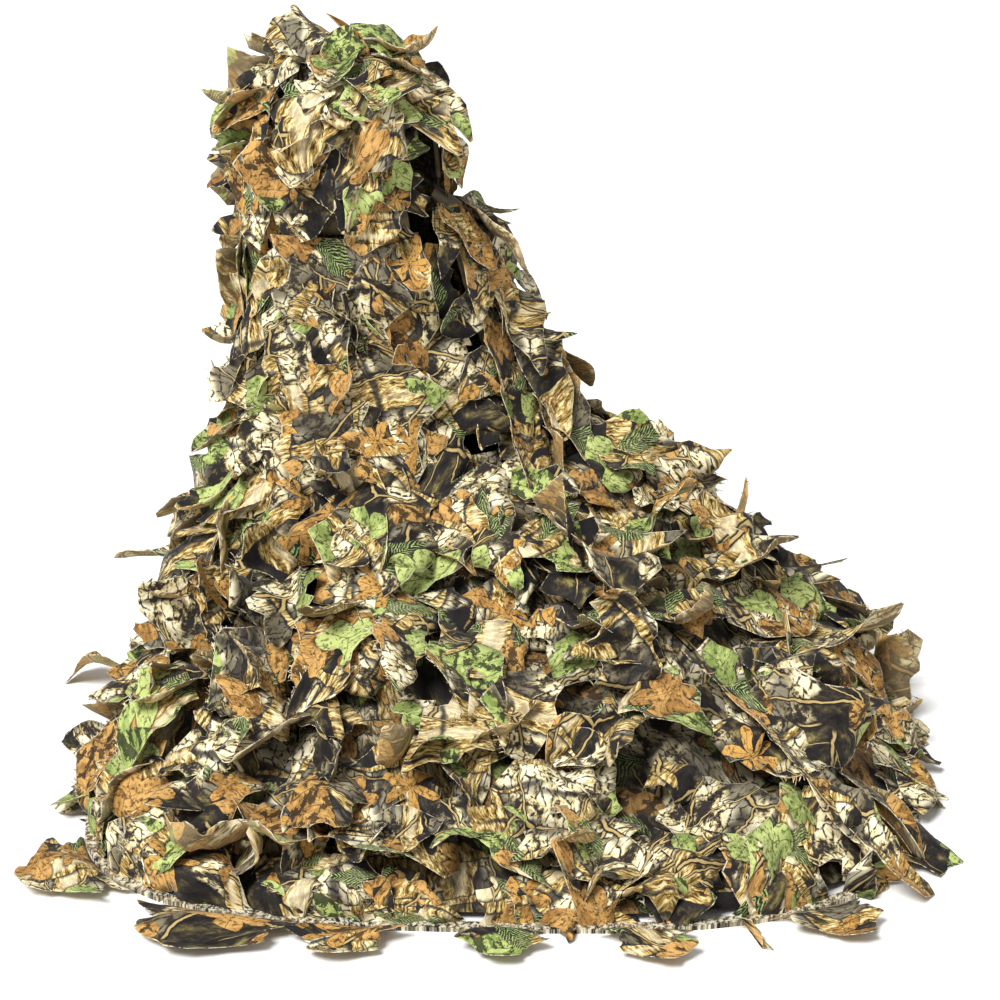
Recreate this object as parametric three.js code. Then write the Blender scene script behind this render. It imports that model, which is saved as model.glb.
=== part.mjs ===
// A hooded camouflage cloak of leaf-cut cloth, standing as a column with its train spread on the ground.
// Millimetres, +Z up. The origin is on the ground under the middle of the whole cloak.
//
// All the cloth follows two surfaces. drape() is the cloak from the neck seam to the hem: it starts as a
// round column and spreads to the train's outline. dome() is the hood. Each piece is a closed panel laid
// on one of them, at its own lift above it.
import * as THREE from 'three';

const degree = Math.PI / 180;

// Train: the base cloth's outline on the ground, and where the column stands in it.
const trainWidth = 940;
const trainDepth = 740;
const trainSquareness = 3.2;
const leftTaper = 95;
const columnFromLeft = 285;
const columnFromBack = 135;
const hemHeight = 7;

// Column and hood.
const neckHeight = 622;
const neckRadius = 108;
const hoodHeight = 163;
const hoodFullness = 4;
const hoodRadius = neckRadius + hoodFullness;
const hoodSquareness = 2.6;
const crownRadius = 80;
const neckSeam = 1;

// How the cloth comes down: two heights pull the fall, one share of the spread starts it outwards.
const fallHeight = 200;
const skirtHeight = 265;
const skirtShare = 0.24;

// The cloth stands out at the right, where the front edge is thrown back.
const sideFlare = 132;
const sideFlareAngle = 15 * degree;

// The train is heaped up behind at the right.
const heapHeight = 62;
const heapAngle = 18 * degree;

// Soft folds that run down the train.
const foldDepth = 9;
const foldCount = 7;

// Cloth, leaf rows and the clearances between them.
const clothThickness = 3;
const leafThickness = 5;
const leafLift = 12;
const leafFlare = 20;
const seamGap = 0.6;

// Front opening, measured round the column from the way that the cloak faces.
const facing = -28 * degree;
const openingHalf = 10 * degree;
const bindingAngle = 5 * degree;
const columnEnd = 0.34;
const trainEnd = 0.996;

// Face opening.
const faceHalf = 24 * degree;
const faceBinding = 6;

// Press studs.
const studRadius = 6;
const studThickness = 3;
const studCount = 3;

// Hem tape.
const tapeWidth = 14;
const tapeThickness = 5;
const tapeGap = 2;

// Loose strips and tongues. A tongue's root is clear of the tape.
const tongueGap = tapeGap + clothThickness + tapeWidth + 5;
const tongueThickness = 4;

const columnX = columnFromLeft - trainWidth / 2;
const columnY = trainDepth / 2 - columnFromBack;

const colours = {
  cloth: '#4a4236',
  tape: '#8a7a58',
  metal: '#5b5a56',
  bark: '#cdbf9c',
  brown: '#8f6434',
  orange: '#b57b3f',
  green: '#86a85a',
  dark: '#38332f',
};

const garment = new THREE.Group();

function addPiece(name, geometry, colour, metalness = 0) {
  const roughness = metalness > 0 ? 0.4 : 0.95;
  const material = new THREE.MeshStandardMaterial({ color: colours[colour], roughness, metalness });
  const mesh = new THREE.Mesh(geometry, material);
  mesh.name = name;
  garment.add(mesh);
  return mesh;
}

// A closed panel: a grid over surface(u, v), u and v from 0 to 1, is offset half the thickness each way
// along its own normal, and the two skins are joined by a rim.
function closedPanel(surface, uSteps, vSteps, thickness) {
  const step = 1e-3;
  const columns = uSteps + 1;
  const skinSize = columns * (vSteps + 1);
  const outer = [];
  const inner = [];
  for (let row = 0; row <= vSteps; row += 1) {
    for (let column = 0; column < columns; column += 1) {
      const u = column / uSteps;
      const v = row / vSteps;
      const uSide = u > 0.5 ? -step : step;
      const vSide = v > 0.5 ? -step : step;
      const point = surface(u, v);
      const alongU = surface(u + uSide, v).sub(point).divideScalar(uSide);
      const alongV = surface(u, v + vSide).sub(point).divideScalar(vSide);
      const offset = alongU.cross(alongV).setLength(thickness / 2);
      outer.push(...point.clone().add(offset).toArray());
      inner.push(...point.clone().sub(offset).toArray());
    }
  }
  const triangles = [];
  const at = (column, row) => row * columns + column;
  for (let row = 0; row < vSteps; row += 1) {
    for (let column = 0; column < uSteps; column += 1) {
      const a = at(column, row);
      const b = at(column + 1, row);
      const c = at(column + 1, row + 1);
      const d = at(column, row + 1);
      triangles.push(a, b, c, a, c, d);
      triangles.push(c + skinSize, b + skinSize, a + skinSize, d + skinSize, c + skinSize, a + skinSize);
    }
  }
  const rim = [];
  for (let column = 0; column < uSteps; column += 1) rim.push(at(column, 0));
  for (let row = 0; row < vSteps; row += 1) rim.push(at(uSteps, row));
  for (let column = uSteps; column > 0; column -= 1) rim.push(at(column, vSteps));
  for (let row = vSteps; row > 0; row -= 1) rim.push(at(0, row));
  rim.forEach((a, index) => {
    const b = rim[(index + 1) % rim.length];
    triangles.push(b, a, a + skinSize, b, a + skinSize, b + skinSize);
  });
  const geometry = new THREE.BufferGeometry();
  geometry.setAttribute('position', new THREE.Float32BufferAttribute([...outer, ...inner], 3));
  geometry.setIndex(triangles);
  geometry.computeVertexNormals();
  return geometry;
}

const mix = (a, b, share) => a + (b - a) * share;

// A point of the train's outline, or of a line further out: a superellipse round the origin, drawn in
// at the back of its left side.
function hemPoint(angle, beyond = 0) {
  const acrossShare = Math.abs(Math.cos(angle)) / (trainWidth / 2);
  const alongShare = Math.abs(Math.sin(angle)) / (trainDepth / 2);
  const sum = acrossShare ** trainSquareness + alongShare ** trainSquareness;
  const radius = sum ** (-1 / trainSquareness);
  const x = radius * Math.cos(angle);
  const y = radius * Math.sin(angle);
  const leftShare = Math.max(0, -x / (trainWidth / 2)) ** 2;
  const backShare = 0.5 + y / trainDepth;
  return new THREE.Vector3(
    x + leftTaper * leftShare * backShare + beyond * Math.cos(angle),
    y + beyond * Math.sin(angle),
    0,
  );
}

// The cloak's surface: fall goes from 0 at the neck seam to 1 at the hem. The height and the share of
// the way from the column to the train's outline are both cubic Bezier curves of the fall.
function clothPoint(angle, fall) {
  const rest = 1 - fall;
  const spread = 3 * rest * fall ** 2 * skirtShare + fall ** 3;
  const top = neckHeight * rest ** 3;
  const height = top + 3 * rest ** 2 * fall * fallHeight + 3 * rest * fall ** 2 * skirtHeight;
  const lobe = Math.max(0, Math.cos(angle - sideFlareAngle)) ** 3;
  const swell = Math.sqrt(Math.max(0, Math.sin(Math.PI * fall)));
  const columnRadius = neckRadius + sideFlare * lobe * swell;
  const fold = foldDepth * Math.sin(foldCount * angle);
  const heap = heapHeight * Math.max(0, Math.cos(angle - heapAngle)) ** 2;
  const hem = hemPoint(angle);
  return new THREE.Vector3(
    mix(columnX + columnRadius * Math.cos(angle), hem.x, spread),
    mix(columnY + columnRadius * Math.sin(angle), hem.y, spread),
    height + hemHeight * fall ** 3 + (fold + heap) * 4 * spread * Math.max(0, 1 - spread),
  );
}

// The hood's surface: rise goes from 0 at the neck seam to 1 at the crown, on a superellipse.
function hoodPoint(angle, rise) {
  const quarter = Math.min(1, Math.max(0, rise)) * Math.PI / 2;
  const radius = hoodRadius * Math.cos(quarter) ** (2 / hoodSquareness);
  return new THREE.Vector3(
    columnX + radius * Math.cos(angle),
    columnY + radius * Math.sin(angle),
    neckHeight + neckSeam + hoodHeight * Math.sin(quarter) ** (2 / hoodSquareness),
  );
}

// A point lifted off a surface along its outward normal. Both surfaces go round anticlockwise; the
// cloak runs down and the hood runs up, so direction is 1 on the cloak and -1 on the hood.
function lifted(point, direction, angle, along, lift) {
  const step = 1e-3;
  const round = point(angle + step, along).sub(point(angle - step, along));
  const down = point(angle, along + step).sub(point(angle, along - step));
  const normal = down.cross(round).multiplyScalar(direction).normalize();
  return point(angle, along).addScaledVector(normal, lift);
}

const drape = (angle, fall, lift = 0) => lifted(clothPoint, 1, angle, fall, lift);
const dome = (angle, rise, lift = 0) => lifted(hoodPoint, -1, angle, rise, lift);

// A base panel between two angles from the facing and two stations along its surface.
function basePanel(name, surface, from, to, start, end, colour, uSteps = 6, vSteps = 6) {
  const laid = (u, v) => surface(facing + mix(from, to, u), mix(start, end, v));
  return addPiece(name, closedPanel(laid, uSteps, vSteps, clothThickness), colour);
}

// A leaf row: a strip sewn along its upper edge, cut into tongues below, and standing out there.
function leafRow(name, surface, from, to, start, end, tongues, colour, flare = leafFlare) {
  const notch = 0.38;
  const stepsPerTongue = 4;
  const laid = (u, v) => {
    const tongue = Math.abs(Math.sin(Math.PI * tongues * u)) ** 0.7;
    const lowerEdge = mix(start, end, 1 - notch * (1 - tongue));
    return surface(facing + mix(from, to, u), mix(start, lowerEdge, v), leafLift + flare * v);
  };
  return addPiece(name, closedPanel(laid, tongues * stepsPerTongue, 2, leafThickness), colour);
}

// Body of the cloak: three panels on each side of the opening, meeting at the middle of the back.
function addBodyPanels() {
  const neckTapeEnd = 0.02;
  const slit = openingHalf + bindingAngle;
  const seams = [slit, 70 * degree, 125 * degree, Math.PI];
  const panels = ['front', 'side', 'back'];
  const seam = 0.3 * degree;
  const full = 2 * Math.PI - slit;
  basePanel('neck_tape', drape, slit, full, 0, neckTapeEnd, 'tape', 24, 1);
  panels.forEach((panel, index) => {
    const from = seams[index] + seam;
    const to = seams[index + 1] - seam;
    const top = neckTapeEnd + 0.003;
    basePanel(`body_left_${panel}_panel`, drape, from, to, top, columnEnd, 'cloth');
    basePanel(`body_right_${panel}_panel`, drape, -to, -from, top, columnEnd, 'cloth');
  });
}

// Bindings down both edges of the opening, with the halves of the press studs on their faces.
function addFrontBindings() {
  const bindingStart = 0.025;
  const bindingEnd = columnEnd - 0.01;
  const seam = 0.4 * degree;
  const middle = openingHalf + bindingAngle / 2;
  const sides = [['left', 1, 'socket'], ['right', -1, 'stud']];
  sides.forEach(([side, direction, half]) => {
    const from = direction * openingHalf;
    const to = direction * (openingHalf + bindingAngle - seam);
    const name = `front_binding_${side}`;
    basePanel(name, drape, from, to, bindingStart, bindingEnd, 'tape', 1, 8);
    for (let index = 0; index < studCount; index += 1) {
      const fall = mix(bindingStart, bindingEnd, (index + 0.5) / studCount);
      const angle = facing + direction * middle;
      const standOff = clothThickness / 2 + studThickness / 2 + seamGap;
      const place = drape(angle, fall, standOff);
      const outward = place.clone().sub(drape(angle, fall)).normalize();
      const radius = half === 'socket' ? studRadius : studRadius - 1;
      const geometry = new THREE.CylinderGeometry(radius, radius, studThickness, 16);
      const stud = addPiece(`press_${half}_${index + 1}`, geometry, 'metal', 1);
      stud.position.copy(place);
      stud.quaternion.setFromUnitVectors(new THREE.Vector3(0, 1, 0), outward);
    }
  });
}

// Train: eight gores round the column, each laid from the body's lower edge to the hem.
function addTrainGores() {
  const goreCount = 8;
  const seam = 0.25 * degree;
  const width = 2 * Math.PI / goreCount;
  for (let index = 0; index < goreCount; index += 1) {
    const from = index * width + seam;
    const to = (index + 1) * width - seam;
    basePanel(`train_gore_${index + 1}`, drape, from, to, columnEnd + 0.004, trainEnd, 'cloth', 6, 7);
  }
}

// Hem tape: four flat lengths on the ground, just outside the gores' lower edges.
function addHemTape() {
  const seam = 0.3 * degree;
  ['front', 'right', 'back', 'left'].forEach((side, index) => {
    const from = (index - 1.5) * Math.PI / 2 + seam;
    const to = from + Math.PI / 2 - 2 * seam;
    const laid = (u, v) => {
      const place = hemPoint(mix(from, to, u), tapeGap + clothThickness + tapeWidth * v);
      return place.setZ(tapeThickness / 2);
    };
    addPiece(`hem_tape_${side}`, closedPanel(laid, 14, 1, tapeThickness), 'tape');
  });
}

// Leaf rows of the body, open at the front, and of the train, which go all round.
function addCloakRows() {
  const bodyRows = [0.028, 0.103, 0.178, 0.258, 0.343];
  const bodyColours = ['orange', 'bark', 'green', 'brown'];
  const bodyTongues = 7;
  const bodyOverlap = 0.004;
  const slit = openingHalf + bindingAngle + 1 * degree;
  bodyColours.forEach((colour, index) => {
    const start = bodyRows[index];
    const end = bodyRows[index + 1] + bodyOverlap;
    const full = 2 * Math.PI - slit;
    leafRow(`body_leaf_row_${index + 1}`, drape, slit, full, start, end, bodyTongues, colour);
  });
  const trainRows = [0.37, 0.53, 0.69, 0.84, 0.985];
  const trainColours = ['bark', 'green', 'orange', 'brown'];
  const firstTongues = 11;
  const trainOverlap = 0.01;
  const seam = 0.3 * degree;
  trainColours.forEach((colour, index) => {
    const start = trainRows[index];
    const end = Math.min(trainRows[index + 1] + trainOverlap, trainRows[4]);
    const tongues = firstTongues + index;
    leafRow(`train_leaf_row_${index + 1}`, drape, seam, 2 * Math.PI - seam, start, end, tongues, colour);
  });
}

// Hood: two side panels, a gusset over the nape, a round crown panel, and a binding round the face.
function addHoodCloth() {
  const gussetHalf = 18 * degree;
  const seam = 0.3 * degree;
  const edgeShare = (crownRadius + seamGap + clothThickness / 2) / hoodRadius;
  const rise = Math.acos(edgeShare ** (hoodSquareness / 2)) / (Math.PI / 2);
  const bindingSpan = 2 * (faceBinding + seamGap) / hoodRadius;
  const from = faceHalf + bindingSpan;
  const to = Math.PI - gussetHalf - seam;
  const start = 0.004;
  basePanel('hood_left_panel', dome, from, to, start, rise, 'cloth', 7, 5);
  basePanel('hood_right_panel', dome, -to, -from, start, rise, 'cloth', 7, 5);
  basePanel('hood_nape_gusset', dome, Math.PI - gussetHalf, Math.PI + gussetHalf, start, rise, 'cloth', 3, 5);

  const height = (radius) => {
    const share = 1 - (radius / hoodRadius) ** hoodSquareness;
    return neckHeight + neckSeam + hoodHeight * share ** (1 / hoodSquareness);
  };
  const crown = (u, v) => {
    const across = 2 * u - 1;
    const along = 2 * v - 1;
    const x = crownRadius * across * Math.sqrt(1 - along ** 2 / 2);
    const y = crownRadius * along * Math.sqrt(1 - across ** 2 / 2);
    return new THREE.Vector3(columnX + x, columnY + y, height(Math.hypot(x, y)));
  };
  addPiece('hood_crown_panel', closedPanel(crown, 8, 8, clothThickness), 'cloth');

  // The binding runs up one side of the face, over its top between two rounded corners, and down.
  const foot = 0.03;
  const top = rise - 0.09;
  const cornerStart = top - 0.06;
  const cornerShare = 0.72;
  const side = faceHalf + bindingSpan / 2;
  const route = [];
  for (let index = 0; index <= 3; index += 1) {
    route.push(dome(facing - side, mix(foot, cornerStart, index / 3)));
  }
  for (let index = 0; index <= 4; index += 1) {
    route.push(dome(facing + mix(-cornerShare, cornerShare, index / 4) * side, top));
  }
  for (let index = 0; index <= 3; index += 1) {
    route.push(dome(facing + side, mix(cornerStart, foot, index / 3)));
  }
  const section = new THREE.Shape();
  section.absarc(0, 0, faceBinding / 2, 0, 2 * Math.PI);
  const path = new THREE.CatmullRomCurve3(route);
  const sweep = { steps: 30, extrudePath: path, curveSegments: 4 };
  addPiece('hood_face_binding', new THREE.ExtrudeGeometry(section, sweep), 'tape');
}

function addHoodRows() {
  const slit = faceHalf + 2 * (faceBinding + seamGap) / hoodRadius;
  const full = 2 * Math.PI - slit;
  const seam = 0.4 * degree;
  leafRow('hood_leaf_row_lower', dome, slit, full, 0.3, 0.05, 6, 'orange', 14);
  leafRow('hood_leaf_row_upper', dome, slit, full, 0.6, 0.27, 6, 'bark', 14);
  leafRow('hood_leaf_row_crown', dome, seam, 2 * Math.PI - seam, 0.93, 0.57, 6, 'brown', 12);
}

// A crown leaf: a long leaf sewn near the crown, arched over the hood's shoulder. It stands higher than
// the rows, falls away with the hood by a share of its curve, and its tip stops short of the hood's side.
function addCrownLeaf(name, angle, tipInset, width, colour) {
  const rootLift = leafLift + 12;
  const tipLift = leafLift + 24;
  const rootRadius = 12;
  const length = hoodRadius - tipInset - rootRadius;
  const tipDroop = length * 0.2;
  const narrowShare = 0.35;
  const hoodShare = 0.35;
  const hoodBase = neckHeight + neckSeam;
  const laid = (u, v) => {
    const reach = mix(rootRadius, rootRadius + length, v);
    const bulge = Math.sin(Math.PI * (0.15 + 0.75 * v));
    const half = width / 2 * mix(narrowShare, 1, bulge);
    const side = mix(-half, half, u);
    const radius = Math.min(hoodRadius * 0.999, Math.hypot(reach, side));
    const share = (1 - (radius / hoodRadius) ** hoodSquareness) ** (1 / hoodSquareness);
    const lift = mix(rootLift, tipLift, v) - tipDroop * v ** 3;
    return new THREE.Vector3(
      columnX + reach * Math.cos(angle) - side * Math.sin(angle),
      columnY + reach * Math.sin(angle) + side * Math.cos(angle),
      hoodBase + hoodHeight * mix(1, share, hoodShare) + lift,
    );
  };
  addPiece(name, closedPanel(laid, 4, 6, tongueThickness), colour);
}

// A tongue that lies on the ground, from just outside the hem tape outwards to a narrow tip.
function addGroundTongue(name, angle, length, width, colour) {
  const arch = 10;
  const floorGap = 0.4;
  const tipShare = 0.3;
  const laid = (u, v) => {
    const bulge = 0.55 + 0.45 * Math.sin(Math.PI * (0.1 + 0.7 * v));
    const half = width / 2 * bulge * mix(1, tipShare, v ** 3);
    const turned = angle + mix(-half, half, u) / hemPoint(angle, length * v).length();
    const rise = arch * Math.sin(Math.PI * v) * (1 - 0.5 * v);
    return hemPoint(turned, tongueGap + length * v).setZ(tongueThickness / 2 + floorGap + rise);
  };
  addPiece(name, closedPanel(laid, 3, 7, tongueThickness), colour);
}

// A loose strip: it leaves the train part of the way up, runs down over the leaf rows, and its end
// lies on the ground beyond the hem.
function addLooseStrip(name, angle, rootFall, beyond, width, colour) {
  const lift = leafLift + leafFlare + 12;
  const route = [rootFall, mix(rootFall, 1, 0.5), 1].map((fall) => drape(angle, fall, lift));
  const outward = new THREE.Vector3(Math.cos(angle), Math.sin(angle), 0);
  const hem = drape(angle, 1);
  const landing = hem.clone().addScaledVector(outward, tapeWidth + beyond * 0.55);
  const tip = hem.clone().addScaledVector(outward, tapeWidth + beyond);
  landing.z = tongueThickness;
  tip.z = tongueThickness;
  const path = new THREE.CatmullRomCurve3([...route, landing, tip]);
  const sideways = new THREE.Vector3(-Math.sin(angle), Math.cos(angle), 0);
  const laid = (u, v) => {
    const half = width / 2 * (1 - 0.45 * v ** 2);
    return path.getPoint(Math.min(1, Math.max(0, v))).addScaledVector(sideways, mix(-half, half, u));
  };
  addPiece(name, closedPanel(laid, 2, 10, tongueThickness), colour);
}

addBodyPanels();
addFrontBindings();
addTrainGores();
addHemTape();
addCloakRows();
addHoodCloth();
addHoodRows();
addCrownLeaf('crown_leaf_green', 5 * degree, 4, 74, 'green');
addCrownLeaf('crown_leaf_bark', 188 * degree, 16, 66, 'bark');
addGroundTongue('ground_tongue_corner', -147 * degree, 68, 100, 'brown');
addGroundTongue('ground_tongue_left', -124 * degree, 74, 110, 'dark');
addGroundTongue('ground_tongue_near', -108 * degree, 58, 76, 'orange');
addGroundTongue('ground_tongue_middle', -87 * degree, 54, 70, 'green');
addGroundTongue('ground_tongue_front', -67 * degree, 62, 66, 'green');
addGroundTongue('ground_tongue_right', -45 * degree, 66, 74, 'bark');
addLooseStrip('loose_strip_left', 163 * degree, 0.62, 130, 44, 'orange');
addLooseStrip('loose_strip_right', -34 * degree, 0.8, 62, 46, 'bark');

// Stand the cloak with the origin on the ground under the middle of its box.
const box = new THREE.Box3().setFromObject(garment);
const middle = box.getCenter(new THREE.Vector3());
garment.position.set(-middle.x, -middle.y, -box.min.z);

export default garment;
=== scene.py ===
"""A hooded camouflage cloak of leaf-cut cloth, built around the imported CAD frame. Metres, +Z up.

The cloth follows two surfaces, the same ones as the frame's solids: cloak_point() from the neck seam
down to the hem, and hood_point() from the crown down to the neck seam.
"""
import math

import bmesh
import bpy
import numpy as np
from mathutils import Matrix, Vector


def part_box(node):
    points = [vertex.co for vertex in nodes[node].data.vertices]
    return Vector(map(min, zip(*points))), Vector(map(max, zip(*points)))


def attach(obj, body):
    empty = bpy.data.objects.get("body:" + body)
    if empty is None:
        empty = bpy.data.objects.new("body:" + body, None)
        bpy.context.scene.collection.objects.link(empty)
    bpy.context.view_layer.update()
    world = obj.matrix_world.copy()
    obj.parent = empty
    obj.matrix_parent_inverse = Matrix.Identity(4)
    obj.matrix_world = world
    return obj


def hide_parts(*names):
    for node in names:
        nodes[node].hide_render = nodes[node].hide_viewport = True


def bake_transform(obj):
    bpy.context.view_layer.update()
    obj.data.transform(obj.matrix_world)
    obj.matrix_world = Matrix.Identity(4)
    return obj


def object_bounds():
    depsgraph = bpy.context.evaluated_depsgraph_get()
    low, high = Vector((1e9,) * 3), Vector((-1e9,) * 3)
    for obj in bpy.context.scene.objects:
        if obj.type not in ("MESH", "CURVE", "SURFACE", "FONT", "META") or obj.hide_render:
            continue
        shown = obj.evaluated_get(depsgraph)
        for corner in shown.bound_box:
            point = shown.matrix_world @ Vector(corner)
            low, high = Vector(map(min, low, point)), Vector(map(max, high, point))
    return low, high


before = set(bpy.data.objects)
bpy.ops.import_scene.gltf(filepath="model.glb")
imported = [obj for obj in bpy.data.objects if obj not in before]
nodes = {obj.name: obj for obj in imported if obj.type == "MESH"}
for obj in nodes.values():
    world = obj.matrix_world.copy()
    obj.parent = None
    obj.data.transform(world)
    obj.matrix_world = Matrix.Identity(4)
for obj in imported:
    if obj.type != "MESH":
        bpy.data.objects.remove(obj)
cad_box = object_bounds()


# ---------------------------------------------------------------- camera, floor and light
# A long lens looks down at the front of the cloak, on a wide sheet of matt white paper. One broad sun shines
# from the left, in front and above, and a white sky fills its shadows.
CAMERA_TILT = math.radians(22.0)
CAMERA_TURN = math.radians(-2.0)
CAMERA_DISTANCE = 2.80
CAMERA_LENS = 90.0
AIM = Vector((0.034, 0.0, 0.335))
FLOOR_HALF = 30.0
SKY_STRENGTH = 0.46
SUN_STRENGTH = 4.2
SUN_WIDTH = math.radians(24)
SUN_HEADING = Vector((0.55, 0.75, -1.25))


def show(name, data):
    """A new object in the scene that holds the given data."""
    made = bpy.data.objects.new(name, data)
    bpy.context.collection.objects.link(made)
    return made


view = Vector((
    math.sin(CAMERA_TURN) * math.cos(CAMERA_TILT),
    math.cos(CAMERA_TURN) * math.cos(CAMERA_TILT),
    -math.sin(CAMERA_TILT),
))
camera_data = bpy.data.cameras.new("camera")
camera_data.lens = CAMERA_LENS
camera = show("camera", camera_data)
camera.location = AIM - view * CAMERA_DISTANCE
camera.rotation_euler = view.to_track_quat("-Z", "Y").to_euler()
bpy.context.scene.camera = camera
bpy.context.scene.view_settings.view_transform = "Standard"


def linear(code):
    """An sRGB hex colour as linear RGBA, by the sRGB curve."""
    parts = [int(code[i:i + 2], 16) / 255 for i in (1, 3, 5)]
    return [c / 12.92 if c <= 0.04045 else ((c + 0.055) / 1.055) ** 2.4 for c in parts] + [1.0]


def new_material(name, **values):
    """A material with its node tree and its shader. Values set the shader's inputs, with _ for a space."""
    material = bpy.data.materials.new(name)
    material.use_nodes = True
    shader = material.node_tree.nodes["Principled BSDF"]
    for key, value in values.items():
        shader.inputs[key.replace("_", " ")].default_value = value
    return material, material.node_tree, shader


floor_paper = new_material("matt_white_paper", Base_Color=linear("#f6f6f5"), Roughness=0.9)[0]
floor_mesh = bpy.data.meshes.new("floor")
floor_mesh.from_pydata(
    [(x * FLOOR_HALF, y * FLOOR_HALF, 0.0) for x, y in ((-1, -1), (1, -1), (1, 1), (-1, 1))],
    [], [(0, 1, 2, 3)],
)
floor_mesh.materials.append(floor_paper)
floor = show("floor", floor_mesh)

world = bpy.data.worlds.new("studio")
world.use_nodes = True
sky = world.node_tree.nodes["Background"].inputs
sky["Color"].default_value = linear("#ffffff")
sky["Strength"].default_value = SKY_STRENGTH
bpy.context.scene.world = world
key = bpy.data.lights.new("key", "SUN")
key.energy = SUN_STRENGTH
key.angle = SUN_WIDTH
show("key", key).rotation_euler = SUN_HEADING.to_track_quat("-Z", "Y").to_euler()


# ---------------------------------------------------------------- body cloth
# Six panels of thin printed polyester make the body: a front, a side and a back on each side of the
# opening. They are sewn edge to edge, hang straight from the neck tape, and crease between the seams.
TRAIN_WIDTH = 0.940
TRAIN_DEPTH = 0.740
TRAIN_SQUARENESS = 3.2
LEFT_TAPER = 0.095
HEM_HEIGHT = 0.007
NECK_HEIGHT = 0.622
NECK_RADIUS = 0.108
FALL_HEIGHT = 0.200
SKIRT_HEIGHT = 0.265
SKIRT_SHARE = 0.24
SIDE_FLARE = 0.132
SIDE_FLARE_ANGLE = math.radians(15)
HEAP_HEIGHT = 0.062
HEAP_ANGLE = math.radians(18)
FOLD_DEPTH = 0.009
FOLD_COUNT = 7
FACING = math.radians(-28)
SLIT = math.radians(15)
COLUMN_END = 0.34
TRAIN_END = 0.996
HEM_OUTSIDE = 0.019
CLOTH_THICKNESS = 0.0008

crown_low, crown_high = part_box("hood_crown_panel")
COLUMN = (crown_low + crown_high) / 2
tape_right_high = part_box("hem_tape_right")[1]
tape_front_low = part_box("hem_tape_front")[0]
tape_back_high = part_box("hem_tape_back")[1]
HEM_CENTRE = Vector((
    tape_right_high.x - HEM_OUTSIDE - TRAIN_WIDTH / 2,
    (tape_front_low.y + tape_back_high.y) / 2,
    0.0,
))


def hem_point(angle):
    """The train's outline: a superellipse round the hem's centre, drawn in at the back of its left side."""
    across = (np.abs(np.cos(angle)) / (TRAIN_WIDTH / 2)) ** TRAIN_SQUARENESS
    along = (np.abs(np.sin(angle)) / (TRAIN_DEPTH / 2)) ** TRAIN_SQUARENESS
    radius = (across + along) ** (-1 / TRAIN_SQUARENESS)
    x = radius * np.cos(angle)
    y = radius * np.sin(angle)
    left = np.clip(-x / (TRAIN_WIDTH / 2), 0, None) ** 2
    return x + LEFT_TAPER * left * (0.5 + y / TRAIN_DEPTH) + HEM_CENTRE.x, y + HEM_CENTRE.y


def cloak_point(angle, fall):
    """A point of the cloak. Fall is 0 at the neck seam and 1 at the hem. Height and spread are cubic
    Bezier curves of the fall: spread blends the round column into the train's outline."""
    rest = 1 - fall
    spread = 3 * rest * fall ** 2 * SKIRT_SHARE + fall ** 3
    height = (NECK_HEIGHT * rest ** 3 + 3 * rest ** 2 * fall * FALL_HEIGHT
              + 3 * rest * fall ** 2 * SKIRT_HEIGHT)
    lobe = np.clip(np.cos(angle - SIDE_FLARE_ANGLE), 0, None) ** 3
    swell = np.sqrt(np.clip(np.sin(np.pi * fall), 0, None))
    radius = NECK_RADIUS + SIDE_FLARE * lobe * swell
    fold = FOLD_DEPTH * np.sin(FOLD_COUNT * angle)
    heap = HEAP_HEIGHT * np.clip(np.cos(angle - HEAP_ANGLE), 0, None) ** 2
    hem_x, hem_y = hem_point(angle)
    x = (1 - spread) * (COLUMN.x + radius * np.cos(angle)) + spread * hem_x
    y = (1 - spread) * (COLUMN.y + radius * np.sin(angle)) + spread * hem_y
    z = height + HEM_HEIGHT * fall ** 3 + (fold + heap) * 4 * spread * np.clip(1 - spread, 0, None)
    return np.stack([x, y, z], axis=-1)


def unit(vectors):
    """Each vector divided by its own length."""
    return vectors / np.maximum(np.linalg.norm(vectors, axis=-1, keepdims=True), 1e-9)


def frame_on(surface, angle, along):
    """The point of a surface at each place, with three directions there: round it, down it and out of
    it, from central differences."""
    step = 1e-3
    point = surface(angle, along)
    across = unit(surface(angle + step, along) - surface(angle - step, along))
    down = unit(surface(angle, along + step) - surface(angle, along - step))
    out = unit(np.cross(down, across))
    return point, across, np.cross(across, out), out


def rumple(points, size, seed, waves=9):
    """Smooth noise from -1 to 1 in space: a sum of sine waves about `size` long in random directions."""
    rng = np.random.default_rng(seed)
    headings = unit(rng.normal(size=(waves, 3)))
    numbers = headings * (2 * np.pi / (size * rng.uniform(0.7, 1.6, (waves, 1))))
    phases = rng.uniform(0, 2 * np.pi, waves)
    return np.sin(points @ numbers.T + phases).sum(axis=-1) / math.sqrt(waves) / 1.5


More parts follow.
